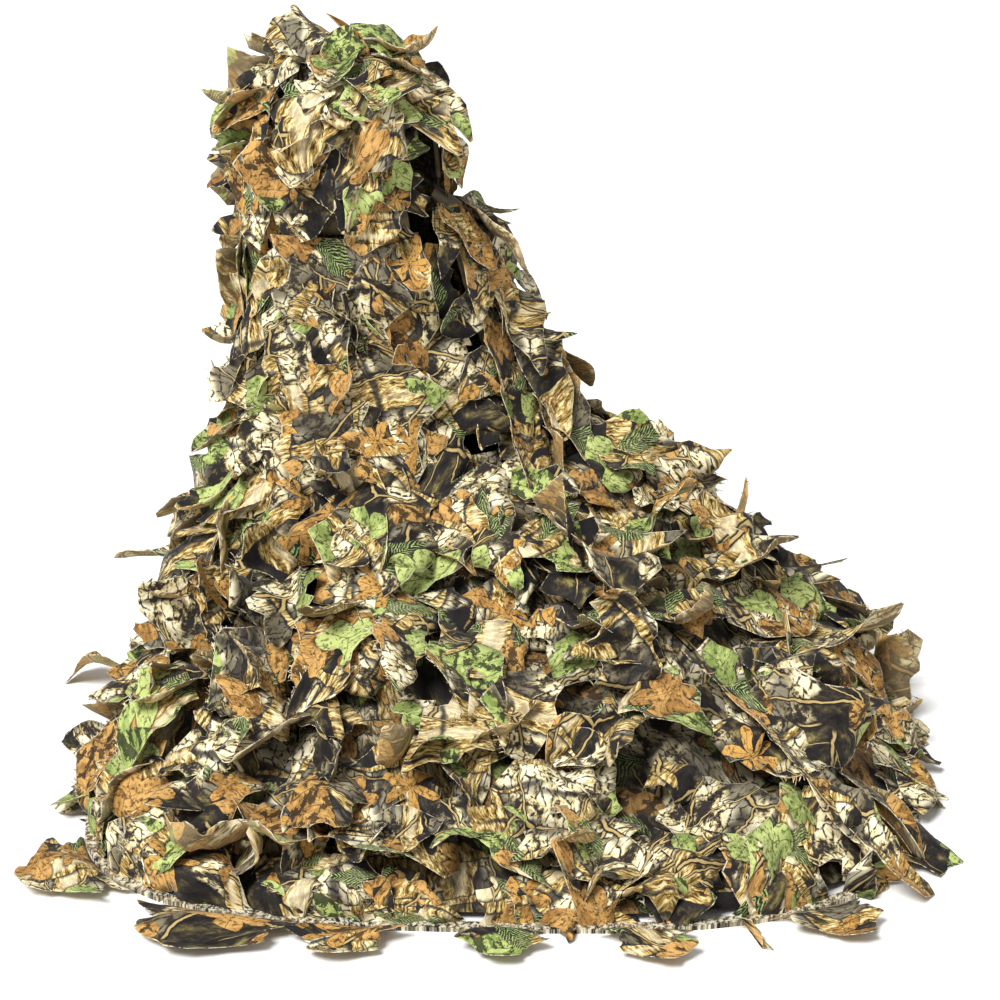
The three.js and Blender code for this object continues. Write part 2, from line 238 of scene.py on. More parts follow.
def new_object(name, vertices, faces, uv, lean, materials):
    """A mesh object from whole arrays. uv and lean have one row for each vertex: uv is the place on the
    bolt of cloth in metres, and lean pulls the print towards orange leaves, green leaves and pale bark, with
    1 in its last column along a cut edge."""
    mesh = bpy.data.meshes.new(name)
    mesh.vertices.add(len(vertices))
    mesh.vertices.foreach_set("co", vertices.astype(np.float32).ravel())
    mesh.loops.add(faces.size)
    mesh.loops.foreach_set("vertex_index", faces.astype(np.int32).ravel())
    mesh.polygons.add(len(faces))
    mesh.polygons.foreach_set("loop_start", np.arange(0, faces.size, faces.shape[1], dtype=np.int32))
    mesh.update(calc_edges=True)
    mesh.validate()
    layer = mesh.uv_layers.new(name="bolt")
    layer.data.foreach_set("uv", uv[faces.ravel()].astype(np.float32).ravel())
    colour = mesh.attributes.new("lean", "FLOAT_COLOR", "POINT")
    colour.data.foreach_set("color", lean.astype(np.float32).ravel())
    mesh.polygons.foreach_set("use_smooth", np.ones(len(faces), bool))
    for material in materials:
        mesh.materials.append(material)
    return show(name, mesh)


def grid_faces(rows, columns):
    """Quads of one grid of points, row after row, each turning from down the cloth to across it."""
    row, column = np.meshgrid(np.arange(rows - 1), np.arange(columns - 1), indexing="ij")
    first = (row * columns + column).ravel()
    return np.stack([first, first + columns, first + columns + 1, first + 1], axis=-1)


def thicken(piece, thickness):
    """Gives cloth its thickness, inwards from its face, with the material's reverse side inside."""
    wall = piece.modifiers.new("cloth", "SOLIDIFY")
    wall.thickness = thickness
    wall.offset = -1
    wall.material_offset = 1
    wall.use_rim = True


def add(tree, kind, links=None, **settings):
    """Adds one shader node: settings are its properties, links are its inputs, each a value or a socket."""
    made = tree.nodes.new(kind)
    for key, value in settings.items():
        setattr(made, key, value)
    for key, value in (links or {}).items():
        if isinstance(value, bpy.types.NodeSocket):
            tree.links.new(value, made.inputs[key])
        else:
            made.inputs[key].default_value = value
    return made


def ramp(tree, value, *stops):
    """A colour ramp over a value. Each stop is its place and its sRGB code."""
    made = add(tree, "ShaderNodeValToRGB", {"Fac": value})
    while len(made.color_ramp.elements) < len(stops):
        made.color_ramp.elements.new(0.5)
    for element, (place, code) in zip(made.color_ramp.elements, stops):
        element.position = place
        element.color = linear(code)
    return made.outputs[0]


def camouflage_print(name, wash=None, strength=0.0, flat=False):
    """Thin polyester twill with a woodland print, soft like a painting: pale cracked bark, golden trunks,
    twigs, tan leaves, green leaves and fern over charcoal. A wash covers it by its strength: buff for the
    reverse, and dark brown for the base cloth and its lining, which is painted shade for the hollows between
    the leaves and the inside of the cloak. Scales are in features to the metre of cloth, and a flat strip
    takes its place on the bolt from its place on the ground."""
    material, tree, shader = new_material(name, Specular_IOR_Level=0.2, Sheen_Weight=0.05,
                                          Sheen_Roughness=0.5)
    if flat:
        bolt = add(tree, "ShaderNodeTexCoord").outputs["Object"]
    else:
        bolt = add(tree, "ShaderNodeUVMap", uv_map="bolt").outputs["UV"]
    attribute = add(tree, "ShaderNodeAttribute", attribute_name="lean")
    lean = add(tree, "ShaderNodeSeparateColor", {"Color": attribute.outputs["Color"]})
    orange, green, pale = (lean.outputs[key] for key in ("Red", "Green", "Blue"))

    def maths(operation, *values):
        return add(tree, "ShaderNodeMath", dict(enumerate(values)), operation=operation).outputs[0]

    def times(*values):
        return maths("MULTIPLY", *values)

    def times_plus(*values):
        return maths("MULTIPLY_ADD", *values)

    def minus(*values):
        return maths("SUBTRACT", *values)

    def vectors(operation, links):
        return add(tree, "ShaderNodeVectorMath", links, operation=operation).outputs[0]

    def moved(scale, offset=(0, 0), turn=0.0, vector=bolt):
        links = {"Vector": vector, "Location": (*offset, 0), "Rotation": (0, 0, turn), "Scale": (*scale, 1)}
        return add(tree, "ShaderNodeMapping", links).outputs[0]

    def noise(vector, detail=2.0, roughness=0.5, output="Fac"):
        links = {"Vector": vector, "Scale": 1.0, "Detail": detail, "Roughness": roughness}
        return add(tree, "ShaderNodeTexNoise", links, noise_dimensions="2D").outputs[output]

    def cells(vector, scale=1.0, randomness=1.0, **feature):
        links = {"Vector": vector, "Scale": scale, "Randomness": randomness}
        return add(tree, "ShaderNodeTexVoronoi", links, voronoi_dimensions="2D", **feature).outputs

    def cracks_of(scale, offset, turn=0.0):
        return cells(moved(scale, offset, turn, swirl), feature="DISTANCE_TO_EDGE")["Distance"]

    def step(value, low, high):
        links = {"Value": value, "From Min": low, "From Max": high}
        return add(tree, "ShaderNodeMapRange", links, interpolation_type="SMOOTHSTEP").outputs[0]

    def over(below, above, mask):
        above = linear(above) if isinstance(above, str) else above
        return add(tree, "ShaderNodeMix", {0: mask, 6: below, 7: above}, data_type="RGBA").outputs[2]

    def swirled(vector, scale, reach):
        drift = noise(moved((scale, scale), vector=vector), output="Color")
        drift = vectors("SCALE", {0: vectors("SUBTRACT", {0: drift, 1: (0.5, 0.5, 0.5)}), "Scale": reach})
        return vectors("ADD", {0: vector, 1: drift})

    swirl = swirled(swirled(bolt, 9, 0.036), 60, 0.007)
    depth = noise(moved((10, 10), (7, 1)))

    shade = noise(moved((46, 30), (3, 1), vector=swirl), 5.0, 0.68)
    colour = ramp(tree, shade, (0.34, "#100e0d"), (0.50, "#26211d"), (0.59, "#4d442c"), (0.70, "#877b49"))

    flecks = noise(moved((210, 150), (5, 9), vector=swirl), 4.0, 0.7)
    plates = times_plus(minus(flecks, 0.5), 1.3, cells(moved((58, 30), vector=swirl))["Distance"])
    bark = ramp(tree, plates, (0.20, "#f3e8c6"), (0.42, "#dfd0a0"), (0.56, "#afa073"), (0.66, "#594e3e"),
                (0.80, "#272321"))
    cracks = cracks_of((110, 60), (3, 5))
    bark = over(bark, "#2c251e", times(step(cracks, 0.13, 0.04), step(flecks, 0.36, 0.52)))
    bark = over(bark, "#332c25", times(step(depth, 0.52, 0.62), 0.8))
    bark_place = times_plus(pale, 0.14, noise(moved((13, 8), (2, 6), vector=swirl)))
    colour = over(colour, bark, step(times_plus(flecks, 0.06, bark_place), 0.478, 0.508))

    def trunks(below, place, edge):
        """Trunks lie where `place` is above `edge`, lit along their middle, with a dark gap beside them."""
        grain = noise(moved((240, 60), (7, 2), vector=swirl), 4.0, 0.75)
        wood = ramp(tree, grain, (0.36, "#2c2118"), (0.44, "#765c2a"), (0.52, "#b0914d"), (0.62, "#e9d9a4"))
        wood = over(wood, "#f0e3c0", times(step(place, edge + 0.07, edge + 0.16), 0.55))
        below = over(below, "#211e20", times(step(place, edge - 0.075, edge - 0.005), 0.92))
        return over(below, wood, step(place, edge, edge + 0.012))

    colour = trunks(colour, noise(moved((17, 2.6), (1, 3), 0.3, swirl)), 0.575)
    colour = trunks(colour, noise(moved((3.0, 26), (9, 4), 0.12, swirl)), 0.62)

    for scale, offset, edge, presence in (((24, 9), (1, 8), 0.020, 0.55), ((11, 5), (8, 3), 0.013, 0.52)):
        twigs = cracks_of(scale, offset, 0.5)
        twig_here = step(noise(moved((9, 9), offset), 1.0), presence, presence + 0.03)
        colour = over(colour, "#171310", times(step(twigs, edge * 2.4, edge * 1.2), twig_here))
        colour = over(colour, "#b49c68", times(step(twigs, edge, edge * 0.5), twig_here))

    def placed(scale, offset):
        """The place in a Voronoi cell, turned at random about its middle, and the cell's random colour."""
        place = moved((1, 1), offset, vector=swirl)
        cell = cells(place, scale, 0.9)
        chance = add(tree, "ShaderNodeSeparateColor", {"Color": cell["Color"]}).outputs
        links = {"Vector": vectors("SUBTRACT", {0: place, 1: cell["Position"]}),
                 "Angle": times(chance["Red"], 2 * math.pi)}
        turned = add(tree, "ShaderNodeVectorRotate", links, rotation_type="Z_AXIS").outputs[0]
        local = add(tree, "ShaderNodeSeparateXYZ", {0: turned}).outputs
        return local["X"], local["Y"], chance

    def fern(below, offset, pull):
        """Fronds in cells: slanting needles, by a sine, inside an outline that tapers from a stem."""
        x, y, chance = placed(12.0, offset)
        side = maths("ABSOLUTE", x)
        needles = times(times_plus(side, 1.3, y), 1250.0)
        needles = maths("SINE", times_plus(flecks, 9.0, needles))
        taper = times_plus(maths("ABSOLUTE", y), -0.45, 0.021)
        there = maths("LESS_THAN", chance["Green"], times_plus(pull, 0.4, 0.26))
        frond = times(step(minus(taper, side), 0.0, 0.003), there)
        below = over(below, "#1d2119", times(frond, 0.85))
        light = ramp(tree, flecks, (0.4, "#66783c"), (0.6, "#adbd7e"))
        return over(below, light, times(frond, step(needles, 0.0, 0.7)))

    mottled = times_plus(minus(0.5, flecks), 0.5, shade)

    def leaves(below, scale, offset, radius, lobes, waist, narrow, presence, pull, light, dark):
        """Leaves in cells. The outline's radius rises and falls `lobes` times round the leaf, with a dark
        rim outside it and a vein down each lobe."""
        x, y, chance = placed(scale, offset)
        half = times(maths("ARCTAN2", y, x), lobes / 2)
        reach = maths("SQRT", times_plus(x, x, times(y, y)))
        lobe = maths("POWER", maths("ABSOLUTE", maths("COSINE", half)), narrow)
        inside = minus(times_plus(lobe, radius * (1 - waist), radius * waist), reach)
        there = maths("LESS_THAN", chance["Green"], times_plus(pull, 0.6, presence))
        vein = times(maths("ABSOLUTE", maths("SINE", half)), reach)
        tone = times_plus(minus(chance["Blue"], 0.5), 0.3, mottled)
        leaf = ramp(tree, tone, (0.36, dark), (0.62, light))
        leaf = over(leaf, "#251c11", times(step(flecks, 0.53, 0.61), 0.7))
        leaf = over(leaf, "#3a2716", times(step(vein, 0.0012, 0.0004), 0.7))
        rim = times(times(step(inside, -0.006, -0.0005), there), 0.8)
        return over(over(below, "#221b18", rim), leaf, times(step(inside, -0.0003, 0.0004), there))

    colour = fern(colour, (6, 6), green)
    colour = leaves(colour, 12.5, (0, 0), 0.037, 5, 0.45, 0.8, 0.17, orange, "#c99d5c", "#946c38")
    colour = leaves(colour, 13.5, (5, 8), 0.038, 6, 0.10, 1.5, 0.17, orange, "#c2954f", "#8a6432")
    colour = leaves(colour, 13.0, (2, 3), 0.034, 3, 0.45, 0.8, 0.10, green, "#b5c176", "#7b8a49")

    veins = cracks_of((34, 16), (1, 7))
    blots = noise(moved((60, 95), (4, 4), 0.6, swirl), 4.0, 0.7)
    patch = noise(moved((11, 11), (3, 8)), 1.0)
    for pull, place, dark, light, vein, blot in (
        (green, patch, "#7b8b47", "#b6c376", "#3f4c26", "#1d2014"),
        (orange, minus(1.0, patch), "#8a6535", "#c59b59", "#3d2816", "#241a11"),
    ):
        tint = ramp(tree, mottled, (0.38, dark), (0.60, light))
        tint = over(tint, vein, times(step(veins, 0.030, 0.012), 0.7))
        tint = over(tint, blot, times(step(blots, 0.49, 0.53), 0.88))
        colour = over(colour, tint, step(times_plus(pull, 0.24, place), 0.735, 0.745))

    if wash:
        colour = over(colour, wash, strength)
    cut = times(step(attribute.outputs["Alpha"], 0.92, 0.97), step(flecks, 0.42, 0.62))
    colour = over(colour, "#e9dfc4", times(cut, 0.8))
    tree.links.new(colour, shader.inputs["Base Color"])

    twill = add(tree, "ShaderNodeTexWave", {"Vector": bolt, "Scale": 95.0, "Distortion": 0.5},
                bands_direction="DIAGONAL").outputs["Fac"]
    creases = noise(moved((70, 70), (0, 3)), 3.0, 0.55)
    height = times_plus(twill, 0.06, creases)
    bump = add(tree, "ShaderNodeBump", {"Strength": 0.45, "Distance": 0.004, "Height": height})
    tree.links.new(bump.outputs["Normal"], shader.inputs["Normal"])
    rough = add(tree, "ShaderNodeMapRange", {"Value": creases, "To Min": 0.66, "To Max": 0.9}).outputs[0]
    tree.links.new(rough, shader.inputs["Roughness"])
    return material


LEAF_CLOTH = (
    camouflage_print("printed_polyester_twill"),
    camouflage_print("printed_polyester_twill_reverse", "#b99f70", 0.36),
)
# The base cloth's dark brown wash, and its lining's darker one, are painted shade: they darken the hollows
# between the leaves and the inside of the cloak.
BASE_CLOTH = (
    camouflage_print("base_cloth_print_painted_shade", "#1c1815", 0.5),
    camouflage_print("base_cloth_lining_print_painted_shade", "#231a14", 0.72),
)


CLOTH_OF = {"leaf_cloth": LEAF_CLOTH, "base_cloth": BASE_CLOTH}
PANEL_GROUND = 0.0015
BOLT_ROUND = 0.35
BOLT_DOWN = 1.1


def carry(piece, body):
    """Makes a piece ride its body. The hood's cloth is sewn to the neck tape all round; a hood piece only has
    its placing baked into its mesh."""
    if body == "hood":
        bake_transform(piece)
    else:
        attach(piece, body)


def cloth_piece(name, point, uv, lean, body, replaced, slot):
    """One cut piece of cloth from a grid of points: given its thickness, carried by its body, and put in the
    place of the frame's part, which is hidden."""
    rows, columns = point.shape[:2]
    piece = new_object(name, point.reshape(-1, 3), grid_faces(rows, columns), uv.reshape(-1, 2), lean,
                       CLOTH_OF[slot])
    thicken(piece, CLOTH_THICKNESS)
    carry(piece, body)
    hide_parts(replaced)
    return piece


def base_cloth(name, surface, angles, station, steps, body, replaced, depth):
    """One sewn panel: a grid over the surface, rumpled in and out along its normal, with the rumples dying
    away at its seams."""
    columns, rows = steps
    angle, along = np.meshgrid(np.linspace(*angles, columns), np.linspace(*station, rows))
    point, _, _, out = frame_on(surface, angle, along)
    across = np.linspace(0, 1, columns)[None, :]
    down = np.linspace(0, 1, rows)[:, None]
    inner = np.minimum(1, 14 * across * (1 - across)) * np.minimum(1, 9 * down * (1 - down))
    bumps = rumple(point, 0.09, 11) + 0.45 * rumple(point, 0.04, 12) - 0.3
    point = point + out * (bumps * depth * inner)[..., None]
    point[..., 2] = np.maximum(point[..., 2], PANEL_GROUND)
    uv = np.stack(np.broadcast_arrays(angle * BOLT_ROUND, along * BOLT_DOWN), axis=-1)
    lean = np.tile([0.05, 0.05, -0.1, 0.0], (columns * rows, 1))
    return cloth_piece(name, point, uv, lean, body, replaced, "base_cloth")


SEAM = math.radians(0.3)
NECK_TAPE_END = 0.022
body_seams = [SLIT, math.radians(70), math.radians(125), math.pi]
for index, panel in enumerate(("front", "side", "back")):
    start, end = body_seams[index] + SEAM, body_seams[index + 1] - SEAM
    for side, angles in (("left", (FACING + start, FACING + end)), ("right", (FACING - end, FACING - start))):
        base_cloth(f"body_{side}_{panel}_cloth", cloak_point, angles, (NECK_TAPE_END, COLUMN_END), (28, 44),
                   "cloak", f"body_{side}_{panel}_panel", depth=0.006)


# ---------------------------------------------------------------- train gores
# Eight wedge-shaped panels of the same cloth widen the cloak below the waist and lie over the ground.
# Their long seams run from the body to the hem tape, and they are heaped into soft hollows and ridges.
GORES = 8
WAIST_SEAM = 0.003
for index in range(GORES):
    width = 2 * math.pi / GORES
    angles = (FACING + index * width + SEAM, FACING + (index + 1) * width - SEAM)
    side = "left" if index < GORES / 2 else "right"
    base_cloth(f"train_gore_{index + 1}_cloth", cloak_point, angles, (COLUMN_END + WAIST_SEAM, TRAIN_END),
               (40, 56), "cloak", f"train_gore_{index + 1}",
               depth=0.012)


# ---------------------------------------------------------------- tapes and press studs
# The neck tape and the front and face bindings are folded buff twill tape, and the hem is bound with a
# strip of the printed cloth. Their shape comes from the frame. The studs are pressed blackened brass.
def stained(name, scale, detail, dark, light, **values):
    """A material whose noise, in Object coordinates, blends a dark colour into a light one."""
    material, tree, shader = new_material(name, **values)
    place = add(tree, "ShaderNodeTexCoord").outputs["Object"]
    stains = add(tree, "ShaderNodeTexNoise", {"Vector": place, "Scale": scale, "Detail": detail})
    tree.links.new(ramp(tree, stains.outputs["Fac"], dark, light), shader.inputs["Base Color"])
    return material, tree, shader, place


def cover(node, material):
    """Gives one of the frame's own solids a material."""
    nodes[node].data.materials.clear()
    nodes[node].data.materials.append(material)


# Folded polyester tape with a herringbone rib across it, dulled and stained where it is handled.
buff_tape, tree, shader, place = stained(
    "woven_polyester_tape", 32.0, 5.0, (0.40, "#4e432f"), (0.66, "#94835c"), Roughness=0.88, Sheen_Weight=0.2)
ribs = add(tree, "ShaderNodeTexWave", {"Vector": place, "Scale": 160.0, "Distortion": 1.5},
           bands_direction="DIAGONAL").outputs["Fac"]
bump = add(tree, "ShaderNodeBump", {"Strength": 0.5, "Distance": 0.0008, "Height": ribs})
tree.links.new(bump.outputs["Normal"], shader.inputs["Normal"])
# The printed cloth again, folded double, under a dark wash that is painted shadow along the ground.
hem_strip_painted_shade = camouflage_print("printed_cloth_binding_painted_shade", "#1c1815", 0.72, flat=True)
# Pressed sheet brass, chemically blackened; the finish is rubbed back to warm metal in places.
brass = stained("pressed_blackened_brass", 420.0, 3.0, (0.55, "#2b2926"), (0.78, "#8d7a52"),
                Metallic=1.0, Roughness=0.42)[0]
for name in ("neck_tape", "front_binding_left", "front_binding_right", "hood_face_binding"):
    cover(name, buff_tape)
for side in ("front", "right", "back", "left"):
    cover(f"hem_tape_{side}", hem_strip_painted_shade)

STUD_SIDES = 28
STUD_SLOPE = 0.28
SOCKET_PROFILE = [(0.0, 0.9), (1.4, 0.9), (2.0, 0.2), (3.0, 0.3), (3.8, 1.5), (5.0, 1.9), (5.9, 1.2),
                  (6.0, 0.0), (5.6, -1.4), (0.0, -1.5)]
STUD_PROFILE = [(0.0, 1.7), (1.3, 1.6), (1.9, 1.0), (1.7, 0.1), (2.6, -0.2), (4.2, -0.2), (4.9, -0.7),
                (5.0, -1.2), (4.6, -1.5), (0.0, -1.5)]


def press_half(name, node, profile):
    """A turned shape: a profile of radius and height in mm is carried round the stud's own axis, which is
    the cloth's normal there."""
    low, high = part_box(node)
    centre = np.array((low + high) / 2)
    heading = centre[:2] - np.array(COLUMN)[:2]
    axis = unit(np.array([heading[0], heading[1], STUD_SLOPE * np.linalg.norm(heading)]))
    side = unit(np.cross(axis, [0, 0, 1]))
    top = np.cross(side, axis)
    radius, height = (np.array(profile) / 1000).T
    turn = np.linspace(0, 2 * np.pi, STUD_SIDES, endpoint=False)
    ring = np.cos(turn)[None, :, None] * side + np.sin(turn)[None, :, None] * top
    points = centre + radius[:, None, None] * ring + height[:, None, None] * axis
    row, column = np.meshgrid(np.arange(len(profile) - 1), np.arange(STUD_SIDES), indexing="ij")
    first, after = row * STUD_SIDES, (column + 1) % STUD_SIDES
    quads = np.stack([first + column, first + STUD_SIDES + column, first + STUD_SIDES + after, first + after],
                     axis=-1).reshape(-1, 4)
    mesh = bpy.data.meshes.new(name)
    mesh.from_pydata(points.reshape(-1, 3).tolist(), [], quads.tolist())
    work = bmesh.new()
    work.from_mesh(mesh)
    bmesh.ops.remove_doubles(work, verts=work.verts, dist=1e-6)
    bmesh.ops.recalc_face_normals(work, faces=work.faces)
    work.to_mesh(mesh)
    work.free()
    mesh.polygons.foreach_set("use_smooth", np.ones(len(mesh.polygons), bool))
    mesh.materials.append(brass)
    piece = show(name, mesh)
    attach(piece, "cloak")
    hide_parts(node)


for index in (1, 2, 3):
    press_half(f"press_socket_{index}_cap", f"press_socket_{index}", SOCKET_PROFILE)
    press_half(f"press_stud_{index}_post", f"press_stud_{index}", STUD_PROFILE)


# ---------------------------------------------------------------- leaf rows
# The leaves are the same cloth, cut into broad flaps, tongues and lobes and left joined at the root. They
# ripple, curl and twist, so that they stand off the base cloth, cross, and show their paler reverse.
LEAF_COLUMNS = 6
LEAF_ROWS = 11
LEAF_THICKNESS = 0.0007
GROUND = 0.0016
SETTLE = 0.003
SETTLE_BELOW = 0.03
BOX_MARGIN = 0.033
BOX_LOW = np.array(cad_box[0]) - BOX_MARGIN
BOX_HIGH = np.array(cad_box[1]) + BOX_MARGIN


def leaf_measures(count, rng, length, share, lift, flare, turn, lean_share=0.35):
    """Random measures for each leaf: sizes in metres and angles in radians. Most leaves rise off the cloth
    and fall back to it; the share `flare` of them bend outwards all the way to the tip."""
    long = rng.uniform(*length, count) * np.where(rng.random(count) < 0.2, 1.35, 1.0)
    rise = rng.uniform(*lift, count)
    bends_out = rng.random(count) < flare
    kinds = rng.random(count)
    lean = np.zeros((count, 3))
    lean[:, 0] = np.where(kinds < lean_share * 0.5, rng.uniform(0.2, 0.6, count), 0.0)
    lean[:, 1] = np.where(kinds > 1 - lean_share * 0.35, rng.uniform(0.2, 0.6, count), 0.0)
    lean[:, 2] = rng.uniform(-0.6, 1.0, count)
    return {
        "length": long,
        "width": long * rng.uniform(*share, count),
        "turn": rng.normal(0, turn, count),
        "lift": rise,
        "curl": np.where(bends_out, rng.uniform(0.2, 1.5, count), -2 * rise * rng.uniform(0.5, 1.15, count)),
        "sway": rng.normal(0, 0.22, count),
        "cup": rng.normal(0, 0.5, count),
        "twist": rng.normal(0, 0.55, count),
        "ripple": rng.uniform(0.001, 0.008, count),
        "ripple_turn": rng.uniform(0, np.pi, count),
        "wave": rng.uniform(0.045, 0.09, count),
        "phase": rng.uniform(0, 2 * np.pi, (count, 3)),
        "blunt": rng.uniform(0.35, 1.15, count),
        "pointed": rng.random(count),
        "lobe": rng.uniform(0.05, 0.42, count),
        "lobes": rng.uniform(1.4, 2.9, count),
        "root": rng.uniform(0.12, 0.34, count),
        "lean": lean,
    }


def patches(frames, count, rng):
    """The place on the bolt, and the turn there, of each leaf: neighbours share a patch of print. Each leaf
    belongs to the nearest of `count` patch centres, and takes its place in that centre's tangent plane."""
    root, across, down, _ = frames
    centres = rng.choice(len(root), min(count, len(root)), replace=False)
    nearest = centres[np.argmin(np.linalg.norm(root[:, None] - root[centres][None], axis=-1), axis=1)]
    offset = root - root[nearest]
    flat = np.stack([(offset * across[nearest]).sum(axis=-1), (offset * down[nearest]).sum(axis=-1)], axis=-1)
    start = rng.uniform(0, 7, (len(root), 2))[nearest]
    spin = rng.uniform(0, 2 * np.pi, len(root))[nearest]
    return flat, start, spin


def leaf_points(frames, leaf, patch):
    """Leaves as one array of grids. A leaf's middle line leaves its root along its heading, at a slope that
    changes evenly to the tip. Its half width is a power of a sine along it, waved by lobes on each side.
    It is then cupped across, twisted along its middle line, and rippled by a sine at an angle to it. Near
    the ground it settles on it, and a leaf that would reach well outside the frame's box is moved back."""
    def each(values):
        return values[:, None, None]

    root, across, down, out = frames
    v = np.linspace(0, 1, LEAF_ROWS)[None, :, None]
    u = np.linspace(-1, 1, LEAF_COLUMNS)[None, None, :]
    sine, cosine = np.sin(leaf["turn"])[:, None], np.cos(leaf["turn"])[:, None]
    heading = cosine * down + sine * across
    side = cosine * across - sine * down
    slope = each(leaf["lift"]) + each(leaf["curl"]) * v
    stride = each(leaf["length"]) / (LEAF_ROWS - 1)
    forward = (np.cumsum(np.cos(slope), axis=1) - np.cos(slope[:, :1])) * stride
    upward = (np.cumsum(np.sin(slope), axis=1) - np.sin(slope[:, :1])) * stride
    opened = each(leaf["root"]) + (0.985 - each(leaf["root"])) * v
    half = np.sin(np.pi * opened) ** each(leaf["blunt"])
    edge_phase = np.where(u < 0, each(leaf["phase"][:, 0]), each(leaf["phase"][:, 1]))
    around = np.pi * each(leaf["lobes"]) * v + edge_phase
    lobes = np.where(each(leaf["pointed"]) > 0.45, 1 - 2 * np.abs(np.sin(around)), np.sin(2 * around))
    half = half * (1 + each(leaf["lobe"]) * lobes)
    half = half * each(leaf["width"]) / 2
    flat_x = half * u
    flat_y = each(leaf["length"]) * v + np.zeros_like(flat_x)
    turned = each(leaf["twist"]) * v
    ripple_at = flat_x * np.cos(each(leaf["ripple_turn"])) + flat_y * np.sin(each(leaf["ripple_turn"]))
    ripple = np.sin(2 * np.pi * ripple_at / each(leaf["wave"]) + each(leaf["phase"][:, 2]))
    ripple = each(leaf["ripple"]) * np.minimum(1, 3 * v) * ripple
    sideways = each(leaf["sway"] * leaf["length"]) * v ** 2 + flat_x * np.cos(turned)
    cup = half * each(leaf["cup"]) * (u ** 2 - 0.3) * np.minimum(1, 2 * v)
    raised = flat_x * np.sin(turned) + cup + ripple
    along = forward - np.sin(slope) * raised
    away = upward + np.cos(slope) * raised
    places = (root[:, None, None, :] + heading[:, None, None, :] * along[..., None]
              + out[:, None, None, :] * away[..., None] + side[:, None, None, :] * sideways[..., None])
    settled = GROUND + SETTLE * np.log1p(np.exp(np.clip((places[..., 2] - GROUND) / SETTLE, -30, 30)))
    places[..., 2] = np.where(places[..., 2] > GROUND + SETTLE_BELOW, places[..., 2], settled)
    places -= np.clip(places.max(axis=(1, 2), keepdims=True) - BOX_HIGH, 0, None)
    places[..., :2] += np.clip(BOX_LOW - places.min(axis=(1, 2), keepdims=True), 0, None)[..., :2]

    flat, start, spin = patch
    bolt_x = each(flat[:, 0]) + flat_x * cosine[..., None] + flat_y * sine[..., None]
    bolt_y = each(flat[:, 1]) - flat_x * sine[..., None] + flat_y * cosine[..., None]
    turn_cos, turn_sin = each(np.cos(spin)), each(np.sin(spin))
    uv = np.stack([bolt_x * turn_cos - bolt_y * turn_sin + each(start[:, 0]),
                   bolt_x * turn_sin + bolt_y * turn_cos + each(start[:, 1])], axis=-1)
    return places, uv


def leaf_faces(count):
    """The quads of `count` leaves, each one grid."""
    one = grid_faces(LEAF_ROWS, LEAF_COLUMNS)
    offsets = np.arange(count)[:, None, None] * (LEAF_ROWS * LEAF_COLUMNS)
    return (one[None] + offsets).reshape(-1, 4)


LEAF_PLACES = {}
cut_edge = np.zeros((LEAF_ROWS, LEAF_COLUMNS))
cut_edge[:, (0, -1)] = 1.0
cut_edge[-1, :] = 1.0

# Each ground tongue has its place round the hem in degrees, its length and width, and its print's lean.
TONGUE_ROOT = 0.024
TONGUE_CLEARANCE = 0.005
TONGUE_TUCK = 0.004
TONGUE_REACH = 0.64
TONGUE_PRESS = 0.002
GROUND_TONGUES = [
    ("corner", -147, 0.086, 0.150, (0.3, 0, 0.0)),
    ("left", -124, 0.094, 0.160, (0.5, 0, -0.6)),
    ("near", -108, 0.070, 0.104, (0.9, 0, 0)),
    ("middle", -87, 0.064, 0.094, (0, 0.9, 0)),
    ("front", -67, 0.074, 0.092, (0, 0.7, 0)),
    ("right", -45, 0.078, 0.096, (0, 0, 1.2)),
]


def fold_at_tongues(places):
    """Folds each leaf down to the ground where it would cover the root of a ground tongue, so that the
    tongue can lift. `beside` is 1 within a tongue's width, and `limit` is a ragged line outside the hem."""
    x, y = places[..., 0] - HEM_CENTRE.x, places[..., 1] - HEM_CENTRE.y
    angle = np.arctan2(y, x)
    hem_x, hem_y = hem_point(angle)
    radius = np.hypot(x, y)
    hem_radius = np.hypot(hem_x - HEM_CENTRE.x, hem_y - HEM_CENTRE.y)
    beside = np.zeros(x.shape)
    for _, degrees, _, width, _ in GROUND_TONGUES:
        outside = np.abs(angle - math.radians(degrees)) * hem_radius - TONGUE_REACH * width
        beside = np.maximum(beside, np.clip(1 - outside / TONGUE_CLEARANCE, 0, 1))
    limit = TONGUE_ROOT - 2 * TONGUE_CLEARANCE - 0.006 * (1 + np.sin(43 * angle) * np.sin(17 * angle))
    excess = np.clip(radius - hem_radius - limit, 0, None) * beside
    places[..., 0] -= 0.95 * excess * x / radius
    places[..., 1] -= 0.95 * excess * y / radius
    height = places[..., 2]
    places[..., 2] = np.maximum(np.minimum(height, GROUND + TONGUE_PRESS), height - 0.9 * excess)


def leaf_piece(name, frames, leaf, patch, body, replaced=()):
    """All the leaves of one row as one piece, with the pale line of the cut along every leaf's edge."""
    places, uv = leaf_points(frames, leaf, patch)
    if body == "cloak":
        fold_at_tongues(places)
    LEAF_PLACES[name] = places
    count = len(places)
    size = LEAF_ROWS * LEAF_COLUMNS
    lean = np.c_[np.repeat(leaf["lean"], size, axis=0), np.tile(cut_edge.ravel(), count)]
    piece = new_object(name, places.reshape(-1, 3), leaf_faces(count), uv.reshape(-1, 2), lean, LEAF_CLOTH)
    thicken(piece, LEAF_THICKNESS)
    carry(piece, body)
    if replaced:
        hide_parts(*replaced)
    return piece


